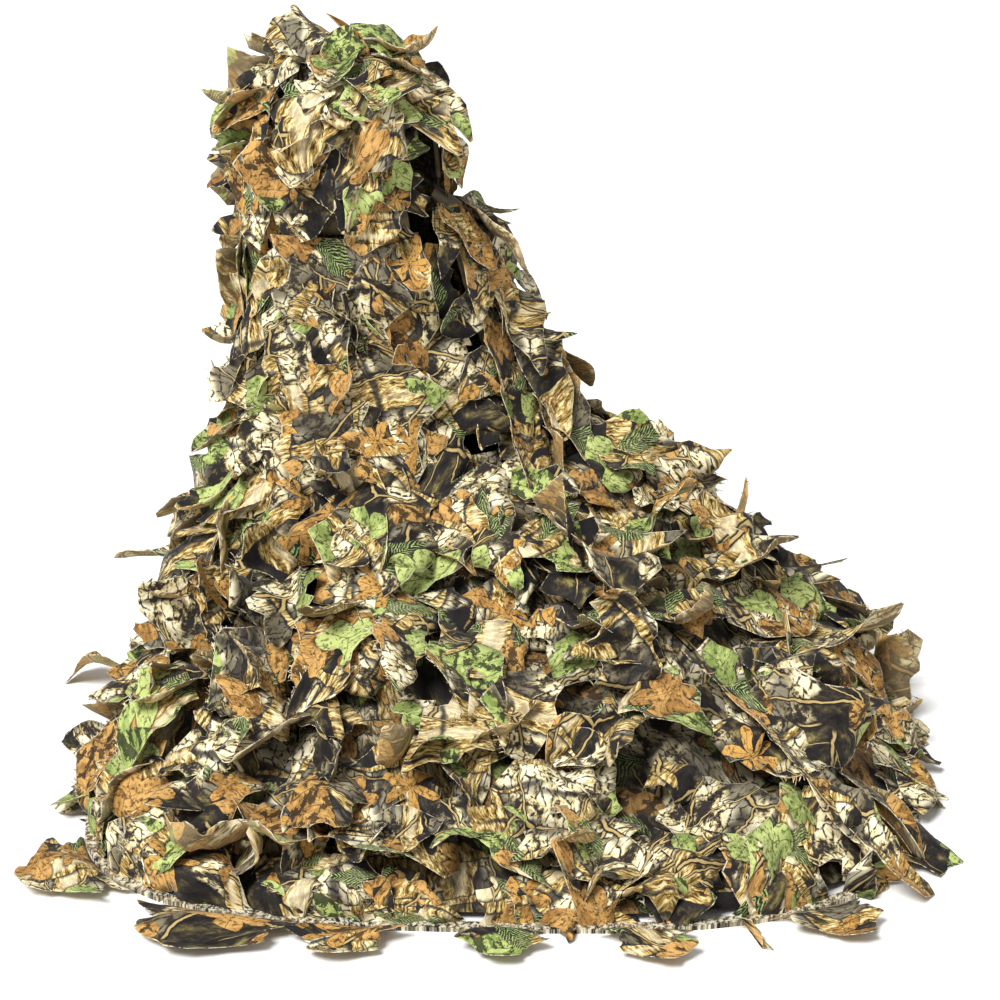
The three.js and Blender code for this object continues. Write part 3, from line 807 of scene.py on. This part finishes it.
def scattered(surface, angles, station, spacing, rng, stand_off):
    """Leaf roots over a band of a surface: rows a spacing apart, and leaves a spacing apart in a row, every
    other row shifted by half, all of them jittered. They stand off the surface by smooth noise."""
    middle = (angles[0] + angles[1]) / 2
    line = surface(np.full(60, middle), np.linspace(*station, 60))
    rows = max(1, round(np.linalg.norm(np.diff(line, axis=0), axis=-1).sum() / spacing))
    all_angles, all_along = [], []
    for row in range(rows):
        along = station[0] + (station[1] - station[0]) * (row + 0.5) / rows
        sweep = np.linspace(*angles, 240)
        steps = np.diff(surface(sweep, np.full(240, along)), axis=0)
        arc = np.r_[0, np.cumsum(np.linalg.norm(steps, axis=-1))]
        count = max(2, round(arc[-1] / spacing))
        marks = (np.arange(count) + 0.25 + 0.5 * (row % 2)) / count * arc[-1]
        all_angles.append(np.interp(marks + rng.uniform(-0.35, 0.35, count) * spacing, arc, sweep))
        all_along.append(along + rng.uniform(-0.5, 0.5, count) * (station[1] - station[0]) / rows)
    angle, along = np.concatenate(all_angles), np.concatenate(all_along)
    point, across, down, out = frame_on(surface, angle, along)
    height = stand_off[0] + (stand_off[1] - stand_off[0]) * np.clip(0.5 + 0.5 * rumple(point, 0.13, 21), 0, 1)
    return point + out * height[:, None], across, down, out


# Places on the ridges of the train, as degrees round it and fall.
PRESSED = ((12, 0.45), (12, 0.66), (16, 0.80), (-157, 0.88), (172, 0.90))
PRESSED_REACH = 0.11
pressed_places = cloak_point(*np.array([(math.radians(degrees), fall) for degrees, fall in PRESSED]).T)


def press(leaf, roots):
    """Where the train bends over its ridges the leaves are pressed down: a smooth share, by distance."""
    away = np.linalg.norm(roots[:, None] - pressed_places[None], axis=-1).min(axis=1)
    share = np.exp(-(away / PRESSED_REACH) ** 2)
    for measure, loss in (("lift", 0.85), ("curl", 0.85), ("length", 0.35), ("width", 0.2)):
        leaf[measure] = leaf[measure] * (1 - loss * share)


# The roots of the two loose strips, as degrees round the train and fall.
STRIP_ROOTS = ((163, 0.62), (-34, 0.80))
STRIP_CLEARANCE = 0.055
strip_roots = cloak_point(*np.array([(math.radians(degrees), fall) for degrees, fall in STRIP_ROOTS]).T)


def leaf_row(name, surface, angles, station, spacing, seed, stand_off, body, node, **measures):
    """One sewn row: scattered roots, random leaves, and patches of print that neighbours share. No leaf is
    sewn on beside the root of a loose strip, which has to lift."""
    rng = np.random.default_rng(seed)
    frames = scattered(surface, angles, station, spacing, rng, stand_off)
    apart = np.linalg.norm(frames[0][:, None] - strip_roots[None], axis=-1).min(axis=1)
    frames = tuple(part[apart > STRIP_CLEARANCE] for part in frames)
    leaf = leaf_measures(len(frames[0]), rng, **measures)
    press(leaf, frames[0])
    return leaf_piece(name, frames, leaf, patches(frames, len(frames[0]) // 7, rng), body, [node])


FULL = 2 * math.pi
body_rows = [0.012, 0.095, 0.17, 0.25, 0.345]
body_leaves = [
    leaf_row(f"body_leaf_row_{index + 1}_leaves", cloak_point, (FACING + SLIT, FACING + FULL - SLIT),
             (body_rows[index], body_rows[index + 1]), 0.034, 100 + index, (0.003, 0.012), "cloak",
             f"body_leaf_row_{index + 1}", length=(0.055, 0.095), share=(0.5, 0.85), lift=(0.03, 0.4),
             flare=0.14, turn=0.5)
    for index in range(4)
]
train_rows = [0.345, 0.52, 0.68, 0.83, 1.0]
train_leaves = [
    leaf_row(f"train_leaf_row_{index + 1}_leaves", cloak_point, (FACING, FACING + FULL),
             (train_rows[index], train_rows[index + 1]), 0.036, 200 + index, (0.002, 0.028), "cloak",
             f"train_leaf_row_{index + 1}", length=(0.065, 0.125), share=(0.5, 0.85), lift=(0.05, 0.8),
             flare=0.3, turn=0.9)
    for index in range(4)
]


# ---------------------------------------------------------------- hood
# Two side panels, a gusset over the nape and a crown panel make the hood. It is gathered slightly on the
# neck tape and rests over the head of whatever carries the cloak.
HOOD_HEIGHT = 0.163
HOOD_RADIUS = 0.112
HOOD_SQUARENESS = 2.6
HOOD_BASE = NECK_HEIGHT + 0.001
CROWN_RADIUS = 0.080


def hood_point(angle, depth):
    """A point of the hood. Depth is 0 at the crown and 1 at the neck seam, on a superellipse."""
    quarter = np.clip(1 - depth, 0, 1) * np.pi / 2
    radius = HOOD_RADIUS * np.cos(quarter) ** (2 / HOOD_SQUARENESS)
    height = HOOD_HEIGHT * np.sin(quarter) ** (2 / HOOD_SQUARENESS)
    x = COLUMN.x + radius * np.cos(angle)
    y = COLUMN.y + radius * np.sin(angle)
    return np.stack([x, y, HOOD_BASE + height], axis=-1)


CROWN_SEAM = 0.0021
FACE_HALF = math.radians(24)
BINDING_REACH = 0.0066
crown_edge = (CROWN_RADIUS + CROWN_SEAM) / HOOD_RADIUS
CROWN_DEPTH = 1 - math.acos(crown_edge ** (HOOD_SQUARENESS / 2)) / (math.pi / 2)
FACE_SLIT = FACE_HALF + 2 * BINDING_REACH / HOOD_RADIUS
GUSSET = math.radians(18)
for name, angles, columns in (
    ("left_panel", (FACE_SLIT, math.pi - GUSSET - SEAM), 36),
    ("right_panel", (FULL - (math.pi - GUSSET - SEAM), FULL - FACE_SLIT), 36),
    ("nape_gusset", (math.pi - GUSSET, math.pi + GUSSET), 16),
):
    base_cloth(f"hood_{name}_cloth", hood_point, (FACING + angles[0], FACING + angles[1]),
               (CROWN_DEPTH, 0.995), (columns, 28), "hood", f"hood_{name}",
               depth=0.004)

CROWN_STEPS = 30
across, along = np.meshgrid(np.linspace(1, -1, CROWN_STEPS), np.linspace(-1, 1, CROWN_STEPS))
crown_x = CROWN_RADIUS * across * np.sqrt(1 - along ** 2 / 2)
crown_y = CROWN_RADIUS * along * np.sqrt(1 - across ** 2 / 2)
crown_reach = np.hypot(crown_x, crown_y)
crown_share = (1 - (crown_reach / HOOD_RADIUS) ** HOOD_SQUARENESS) ** (1 / HOOD_SQUARENESS)
crown_z = HOOD_BASE + HOOD_HEIGHT * crown_share
crown = np.stack([COLUMN.x + crown_x, COLUMN.y + crown_y, crown_z], axis=-1)
crown[..., 2] += 0.003 * rumple(crown, 0.05, 13) * (1 - (crown_reach / CROWN_RADIUS) ** 4)
cloth_piece("hood_crown_cloth", crown, np.stack([crown_x, crown_y], axis=-1),
            np.zeros((CROWN_STEPS ** 2, 4)), "hood", "hood_crown_panel", "base_cloth")

# The face binding is the frame's own shape, copied into a piece of the hood.
face_tape = show("hood_face_binding_tape", nodes["hood_face_binding"].data.copy())
carry(face_tape, "hood")
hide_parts("hood_face_binding")

hood_leaves = [
    leaf_row(f"hood_leaf_row_{name}_leaves", hood_point, (FACING + slit, FACING + FULL - slit),
             (start, end), 0.031, seed, (0.002, 0.010), "hood", f"hood_leaf_row_{name}",
             length=(0.05, 0.09), share=(0.5, 0.9), lift=(0.03, 0.32), flare=0.08, turn=0.6)
    for name, start, end, slit, seed in (
        ("lower", 0.68, 0.97, FACE_SLIT, 301),
        ("upper", 0.36, 0.68, FACE_SLIT - 0.12, 302),
        ("crown", 0.05, 0.36, 0.0, 303),
    )
]


# ---------------------------------------------------------------- big leaves and scraps
# Larger cut pieces show one whole printed leaf or a stretch of bark each. They are caught by their root
# only, lie over the rows, and turn up at the crown, down both front edges and along the hem.
BIG_LEAF_FIELDS = ("angle", "along", "stand", "turn", "length", "width", "lift", "curl", "cup", "lean")


def big_leaves(name, surface, body, seed, rows):
    """One piece from a list of leaves: angles in degrees, lengths in mm, and which way the print leans."""
    rng = np.random.default_rng(seed)
    columns = dict(zip(BIG_LEAF_FIELDS, zip(*rows)))
    leans = {"orange": (0.8, 0, 0), "green": (0, 0.95, 0), "bark": (0, 0, 1.3), "dark": (0, 0, -1.2)}
    leaf = leaf_measures(len(rows), rng, (0.1, 0.1), (0.5, 0.5), (0.1, 0.1), 0.0, 0.1)
    leaf["turn"], leaf["lift"], leaf["curl"] = (np.radians(columns[key]) for key in ("turn", "lift", "curl"))
    leaf["length"], leaf["width"] = np.array(columns["length"]) / 1000, np.array(columns["width"]) / 1000
    leaf["cup"] = np.array(columns["cup"], float)
    leaf["lobe"] = leaf["lobe"] * 0.7
    leaf["twist"] = leaf["twist"] * 0.5
    leaf["ripple"] = leaf["ripple"] * 0.6
    leaf["lean"] = np.array([leans[key] for key in columns["lean"]])
    point, across, down, out = frame_on(surface, np.radians(columns["angle"]), np.array(columns["along"]))
    frames = (point + out * np.array(columns["stand"])[:, None] / 1000, across, down, out)
    return leaf_piece(name, frames, leaf, patches(frames, len(rows), rng), body)


body_leaves.append(big_leaves("body_big_leaves", cloak_point, "cloak", 401, [
    (-88, 0.020, 16, -4, 170, 140, 4, -6, 0.1, "bark"),
    (-62, 0.030, 17, 3, 165, 110, 4, -6, 0.2, "bark"),
    (-104, 0.100, 18, -8, 150, 120, 5, -8, 0.1, "bark"),
    (-76, 0.150, 19, 2, 170, 150, 5, -6, 0.1, "bark"),
    (-98, 0.215, 20, -6, 120, 110, 6, -8, 0.2, "bark"),
    (-70, 0.255, 22, 8, 100, 105, 8, -10, 0.2, "orange"),
    (-52, 0.190, 18, 4, 130, 70, 5, 4, -0.5, "bark"),
    (-50, 0.080, 16, 2, 120, 60, 4, 6, -0.5, "orange"),
    (-46, 0.270, 18, 6, 110, 70, 5, 8, -0.4, "dark"),
    (-43, 0.140, 14, 30, 100, 60, 10, 0, -0.3, "bark"),
    (-42, 0.235, 14, 44, 96, 56, 12, 0, -0.3, "dark"),
    (-43, 0.040, 12, 24, 90, 52, 8, 0, -0.3, "dark"),
    (-13, 0.050, 12, -24, 96, 50, 10, 4, 0.3, "bark"),
    (-12, 0.140, 12, -34, 100, 58, 12, 0, 0.3, "orange"),
    (-12, 0.225, 12, -40, 110, 66, 14, 0, 0.3, "bark"),
    (-14, 0.300, 12, -50, 110, 70, 16, 0, 0.3, "dark"),
    (2, 0.012, 14, -8, 120, 66, 8, 4, 0.5, "bark"),
    (16, 0.030, 16, 40, 90, 56, 16, -10, 0.3, "dark"),
    (-4, 0.090, 14, -4, 130, 72, 8, 6, 0.5, "bark"),
    (14, 0.110, 16, 22, 105, 60, 18, -14, 0.3, "bark"),
    (-4, 0.180, 14, -6, 130, 76, 9, 4, 0.5, "dark"),
    (12, 0.200, 16, 18, 110, 60, 18, -10, 0.3, "orange"),
    (-4, 0.265, 16, -8, 120, 80, 10, 0, 0.4, "bark"),
    (22, 0.270, 18, 30, 90, 60, 20, -20, 0.3, "green"),
    (-150, 0.075, 12, -30, 90, 46, 14, -8, 0.2, "green"),
    (-152, 0.150, 12, -24, 84, 50, 16, -18, 0.2, "dark"),
    (-150, 0.235, 14, -20, 90, 56, 14, -8, 0.2, "green"),
    (-158, 0.020, 14, -62, 66, 24, 26, -8, 0.0, "dark"),
    (-38, 0.205, 10, 62, 74, 52, 16, -20, 0.2, "dark"),
    (-40, 0.110, 10, 56, 66, 46, 14, -16, 0.2, "bark"),
    (-17, 0.110, 12, -60, 74, 50, 14, -10, 0.2, "dark"),
    (-17, 0.185, 12, -66, 84, 56, 14, -12, 0.2, "bark"),
    (-18, 0.245, 12, -70, 80, 56, 14, -12, 0.2, "dark"),
    (-16, 0.010, 14, -16, 88, 62, 8, 0, 0.3, "orange"),
    (-24, 0.008, 12, -6, 84, 40, 6, 0, 0.2, "dark"),
]))
train_leaves.append(big_leaves("train_big_leaves", cloak_point, "cloak", 402, [
    (-160, 0.530, 20, -72, 120, 62, 34, -30, 0.5, "bark"),
    (-152, 0.590, 26, -40, 90, 60, 12, -24, 0.4, "green"),
    (-117, 0.530, 22, -26, 92, 70, 14, -24, 0.3, "green"),
    (-33, 0.430, 22, 66, 84, 44, 24, -40, 0.5, "green"),
    (-55, 0.420, 22, 20, 110, 70, 30, -70, 0.5, "orange"),
    (-90, 0.440, 24, -10, 120, 84, 30, -60, 0.4, "bark"),
    (12, 0.480, 8, 20, 70, 60, 12, -20, 0.4, "green"),
    (14, 0.600, 8, -12, 76, 60, 10, -16, 0.4, "green"),
    (12, 0.770, 10, 176, 62, 36, 84, -24, 0.3, "orange"),
    (12, 0.880, 34, 10, 110, 76, 30, -40, 0.4, "orange"),
    (16, 0.915, 32, 12, 100, 80, 34, -40, 0.4, "dark"),
    (0, 0.900, 30, -20, 110, 80, 20, -40, 0.4, "orange"),
    (-14, 0.960, 18, 6, 110, 60, 16, -34, 0.3, "green"),
    (-24, 0.965, 16, -4, 100, 54, 10, -24, 0.3, "orange"),
    (-8, 0.955, 20, 16, 90, 64, 26, -44, 0.3, "bark"),
    (-45, 0.800, 26, 24, 110, 90, 30, -50, 0.4, "green"),
    (-60, 0.740, 28, -14, 120, 84, 34, -70, 0.5, "bark"),
    (-76, 0.700, 28, 12, 120, 80, 30, -60, 0.5, "green"),
    (-100, 0.640, 26, -20, 130, 90, 26, -50, 0.4, "orange"),
    (-122, 0.700, 26, -30, 120, 90, 22, -44, 0.4, "orange"),
    (-140, 0.800, 22, -30, 110, 80, 20, -40, 0.4, "green"),
    (-150, 0.880, 18, -20, 110, 80, 20, -40, 0.4, "orange"),
    (-134, 0.930, 14, -10, 105, 90, 14, -28, 0.3, "green"),
    (-118, 0.955, 12, 14, 100, 84, 12, -26, 0.3, "bark"),
    (-100, 0.965, 12, -18, 90, 76, 12, -24, 0.3, "orange"),
    (-78, 0.965, 12, 14, 96, 80, 12, -26, 0.3, "bark"),
    (-57, 0.965, 14, -12, 96, 74, 14, -28, 0.3, "dark"),
    (-36, 0.965, 14, 10, 96, 70, 14, -30, 0.3, "orange"),
    (160, 0.930, 14, 6, 100, 76, 16, -30, 0.3, "bark"),
    (178, 0.900, 18, -10, 110, 80, 20, -36, 0.3, "green"),
    (130, 0.800, 18, 10, 110, 80, 20, -36, 0.3, "orange"),
    (95, 0.700, 20, -12, 120, 84, 20, -36, 0.3, "bark"),
    (60, 0.650, 22, 12, 120, 84, 22, -40, 0.3, "green"),
    (40, 0.900, 20, -10, 110, 80, 20, -40, 0.3, "orange"),
]))
hood_leaves.append(big_leaves("hood_big_leaves", hood_point, "hood", 403, [
    (-100, 0.120, 6, 20, 74, 60, 14, -34, 0.4, "bark"),
    (-78, 0.260, 12, -160, 50, 50, 64, -100, 0.5, "green"),
    (-50, 0.200, 10, 178, 52, 18, 46, -10, 0.9, "orange"),
    (-165, 0.420, 18, 6, 92, 26, 10, -6, 0.3, "dark"),
    (-138, 0.480, 12, -34, 96, 66, 8, -10, 0.4, "orange"),
    (-112, 0.700, 12, -14, 92, 104, 8, -12, 0.2, "orange"),
    (-128, 0.820, 12, -30, 80, 80, 10, -14, 0.2, "orange"),
    (-84, 0.480, 14, 50, 90, 56, 14, -24, 0.4, "green"),
    (-66, 0.400, 12, -8, 90, 66, 10, -14, 0.4, "bark"),
    (-44, 0.400, 14, -6, 120, 60, 8, -6, 0.4, "bark"),
    (-22, 0.380, 14, 6, 116, 58, 8, -8, 0.4, "dark"),
    (-6, 0.520, 14, 4, 78, 40, 14, -12, 0.4, "green"),
    (12, 0.620, 14, 50, 56, 32, 26, -20, 0.3, "green"),
    (4, 0.780, 12, 4, 80, 64, 12, -12, 0.4, "bark"),
    (-158, 0.900, 12, -54, 72, 24, 20, -4, 0.3, "dark"),
    (-62, 0.720, 12, -4, 84, 56, 8, -12, 0.4, "green"),
    (-84, 0.840, 12, 10, 80, 64, 8, -12, 0.3, "dark"),
    (-104, 0.930, 14, -6, 62, 80, 8, -8, 0.3, "dark"),
    (-70, 0.950, 14, 6, 66, 70, 8, -8, 0.3, "bark"),
    (30, 0.930, 12, 4, 66, 60, 10, -10, 0.3, "orange"),
    (90, 0.900, 12, -6, 76, 64, 10, -10, 0.3, "bark"),
    (150, 0.900, 12, 6, 76, 64, 10, -10, 0.3, "orange"),
    (60, 0.500, 10, 10, 84, 64, 10, -14, 0.3, "green"),
    (120, 0.550, 10, -10, 84, 64, 10, -14, 0.3, "bark"),
]))


# ---------------------------------------------------------------- crown leaves
# Two whole leaves are sewn near the crown by one end: a bright green one that falls over the right side,
# and a pale bark one that stands up at the left. Each lifts about its root.
LOOSE_ROWS = 26
LOOSE_COLUMNS = 18
CROWN_LEAF_ROOT = 0.012
CROWN_LEAF_STAND = 0.022


def loose_cloth(name, node, centre, half, lean, turn):
    """A single cut piece with its own hinge. centre(u, v) gives its surface and half its outline: the grid
    is drawn in at each row to that outline. Its print starts at a turn of its own on the bolt."""
    v, u = np.meshgrid(np.linspace(0, 1, LOOSE_ROWS), np.linspace(-1, 1, LOOSE_COLUMNS), indexing="ij")
    side = half(u, v) * u
    point = centre(side, v)
    point[..., 2] = np.maximum(point[..., 2], GROUND)
    along = np.r_[0, np.cumsum(np.linalg.norm(np.diff(point[:, LOOSE_COLUMNS // 2], axis=0), axis=-1))]
    along = np.broadcast_to(along[:, None], side.shape)
    uv = np.stack([side * math.cos(turn) - along * math.sin(turn) + 3 * turn,
                   side * math.sin(turn) + along * math.cos(turn) + turn], axis=-1)
    edge = np.clip((np.abs(u) - 1 + 2 / (LOOSE_COLUMNS - 1)) * (LOOSE_COLUMNS - 1) / 2, 0, 1)
    edge[-1] = 1.0
    leans = np.c_[np.tile(lean, (u.size, 1)), edge.ravel()]
    return cloth_piece(name, point, uv, leans, node, node, "leaf_cloth")


def crown_leaf(name, node, degrees, width, reach_end, rise, tilt, lean):
    """A leaf over the hood's shoulder: it reaches out from near the crown, keeps part of the hood's curve,
    its tip lifts by `rise`, and it tilts across by `tilt`. Soft lobes wave its outline."""
    angle = math.radians(degrees)

    def outline(u, v):
        lobes = 1 + 0.22 * np.sin(2 * np.pi * 2.5 * v + np.where(u < 0, 0.4, 1.6))
        return width / 2 * np.sin(np.pi * (0.16 + 0.83 * v)) ** 0.55 * lobes

    def centre(side, v):
        reach = CROWN_LEAF_ROOT + (reach_end - CROWN_LEAF_ROOT) * v
        radius = np.minimum(HOOD_RADIUS * 0.999, np.hypot(reach, side))
        share = (1 - (radius / HOOD_RADIUS) ** HOOD_SQUARENESS) ** (1 / HOOD_SQUARENESS)
        height = HOOD_BASE + HOOD_HEIGHT * (0.65 + 0.35 * share) + CROWN_LEAF_STAND + rise * v ** 2
        height = height + 0.004 * np.sin(60 * side + 5 * v) + side * tilt * np.minimum(1, 2 * v)
        return np.stack([COLUMN.x + reach * math.cos(angle) - side * math.sin(angle),
                         COLUMN.y + reach * math.sin(angle) + side * math.cos(angle), height], axis=-1)

    loose_cloth(name, node, centre, outline, lean, math.radians(degrees))


crown_leaf("crown_leaf_green_cloth", "crown_leaf_green", 5, 0.078, 0.110, -0.034, 0.40, (0, 1.3, 0))
crown_leaf("crown_leaf_bark_cloth", "crown_leaf_bark", 188, 0.068, 0.088, 0.002, -0.75, (0, 0, 1.6))


# ---------------------------------------------------------------- ground tongues
# Six broad tongues are sewn on just outside the hem and lie on the ground, in front and at the left. Each
# has a ragged outline, a raised middle and a tip that is partly turned up.
def ground_tongue(node, degrees, length, width, lean, seed):
    """A tongue along the hem's outward direction. Its outline is a rounded taper with ragged lobes, and it
    arches once off the ground, with ripples that grow towards its edges."""
    angle = math.radians(degrees)
    hem_radius = np.hypot(*hem_point(angle))
    phase = np.random.default_rng(seed).uniform(0, 2 * np.pi, 5)

    def outline(u, v):
        taper = (0.62 + 0.4 * np.sin(np.pi * (0.1 + 0.7 * v))) * (1 - 0.8 * v ** 2.2)
        notches = 1 - 2 * np.abs(np.sin(6.5 * v + np.where(u < 0, phase[0], phase[1])))
        ragged = 0.22 * notches + 0.06 * np.sin(37 * v + phase[2] + u)
        return width / 2 * taper * (1 + ragged)

    def centre(side, v):
        reach = TONGUE_ROOT - TONGUE_TUCK + (length + TONGUE_TUCK) * v
        hem_x, hem_y = hem_point(angle + side / hem_radius)
        arch = 0.013 * np.sin(np.pi * v ** 0.8) + 0.014 * np.clip(v - 0.78, 0, None) * 4.5
        ripple = 0.005 * np.sin(60 * side + 6 * v + phase[3]) * np.sin(np.pi * np.clip(v * 1.2, 0, 1))
        return np.stack([hem_x + reach * math.cos(angle), hem_y + reach * math.sin(angle),
                         0.0035 + arch + ripple], axis=-1)

    loose_cloth(f"{node}_cloth", node, centre, outline, lean, seed * 1.3)


for seed, (name, degrees, length, width, lean) in enumerate(GROUND_TONGUES, 1):
    ground_tongue(f"ground_tongue_{name}", degrees, length, width, lean, seed)


# ---------------------------------------------------------------- loose strips
# Two long narrow offcuts are sewn on part of the way up the train. They run down over the leaf rows and end
# on the ground outside the hem. Both edges turn up, and they twist towards the end.
STRIP_LIFT = 0.044
STRIP_BEYOND_HEM = 0.014
STRIP_END = (0.045, 0.006)
STRIP_SMOOTHING = 160


def loose_strip(node, degrees, root_fall, beyond, width, lean, seed):
    """A strip whose middle line goes from its root over the rows to the ground: five points joined by
    straight lines and smoothed by averaging. Its width wavers, and it twists slightly."""
    angle = math.radians(degrees)
    outward = np.array([math.cos(angle), math.sin(angle), 0.0])
    sideways = np.array([-math.sin(angle), math.cos(angle), 0.0])
    falls = np.array([root_fall, (root_fall + 1) / 2, 1.0])
    point, _, _, out = frame_on(cloak_point, np.full(3, angle), falls)
    hem = point[2]
    outside = [hem + outward * (STRIP_BEYOND_HEM + beyond * share) for share in (0.55, 1.0)]
    stops = np.array([*(point + out * STRIP_LIFT), *outside])
    stops[3:, 2] = STRIP_END
    marks = np.r_[0, np.cumsum(np.linalg.norm(np.diff(stops, axis=0), axis=-1))]
    even = np.linspace(0, marks[-1], 121)
    line = np.stack([np.interp(even, marks, stops[:, axis]) for axis in range(3)], axis=-1)
    for _ in range(STRIP_SMOOTHING):
        line[1:-1] = (line[:-2] + 2 * line[1:-1] + line[2:]) / 4
    phase = np.random.default_rng(seed).uniform(0, 2 * np.pi, 3)

    def outline(u, v):
        wander = 0.34 * np.sin(21 * v + np.where(u < 0, phase[0], phase[1]))
        ragged = 0.13 * np.sin(45 * v + phase[2] + u)
        return width / 2 * (1 - 0.3 * v ** 3) * (1 + wander + ragged)

    def centre(side, v):
        place = np.stack([np.interp(v * 120, np.arange(121), line[:, axis]) for axis in range(3)], axis=-1)
        twist = 0.7 * side * np.sin(9 * v + phase[0]) * v
        wave = 0.006 * np.sin(26 * v + phase[1]) * v
        place[..., 2] += 14.0 * side ** 2 + twist + wave
        return place + sideways * side[..., None]

    loose_cloth(f"{node}_cloth", node, centre, outline, lean, seed * 0.9)


loose_strip("loose_strip_left", *STRIP_ROOTS[0], 0.132, 0.056, (0.9, 0, 0), 11)
loose_strip("loose_strip_right", *STRIP_ROOTS[1], 0.062, 0.046, (0, 0, 1.2), 12)


# ---------------------------------------------------------------- frayed threads
# Where a cut was not sealed, the weave has come undone, and pale undyed threads hang from the edge in a
# fringe. They are a few millimetres long and bend each its own way.
FRAYED_LEAVES = 26
THREADS = 22
THREAD_WIDTH = 0.0011
THREAD_TUCK = 0.001


def frayed(name, source, body, seed):
    """A fringe on some of a row's leaves: threads leave points along one edge, roughly away from the middle
    of the leaf, and each is a very narrow leaf with a bend of its own."""
    rng = np.random.default_rng(seed)
    places = LEAF_PLACES[source]
    chosen = rng.choice(len(places), FRAYED_LEAVES, replace=False)[:, None]
    along = rng.uniform(3, LEAF_ROWS - 1.01, (FRAYED_LEAVES, THREADS))
    row, share = along.astype(int), (along % 1)[..., None]
    root = (places[chosen, row, 0] * (1 - share) + places[chosen, row + 1, 0] * share).reshape(-1, 3)
    outwards = unit((places[chosen, row, 0] - places[chosen, row, 2]).reshape(-1, 3))
    edge = unit((places[chosen, row + 1, 0] - places[chosen, row, 0]).reshape(-1, 3))
    normal = unit(np.cross(outwards, edge))
    root = root - outwards * THREAD_TUCK
    count = len(root)
    leaf = leaf_measures(count, rng, (0.003, 0.009), (0.5, 0.5), (-0.3, 0.3), 1.0, 0.25)
    leaf["width"] = np.full(count, THREAD_WIDTH)
    leaf["curl"] = rng.normal(0, 0.7, count)
    leaf["sway"] = rng.normal(0, 0.3, count)
    leaf["ripple"] = np.zeros(count)
    frames = (root, edge, outwards, normal)
    threads = leaf_piece(name, frames, leaf, patches(frames, 20, rng), body)
    undyed = np.tile([0.0, 0.0, 0.0, 1.0], len(threads.data.vertices)).astype(np.float32)
    threads.data.attributes["lean"].data.foreach_set("color", undyed)
    return threads


train_leaves.append(frayed("train_row_4_threads", "train_leaf_row_4_leaves", "cloak", 501))
train_leaves.append(frayed("train_row_3_threads", "train_leaf_row_3_leaves", "cloak", 502))
train_leaves.append(frayed("train_big_leaf_threads", "train_big_leaves", "cloak", 503))
body_leaves.append(frayed("body_row_3_threads", "body_leaf_row_3_leaves", "cloak", 504))
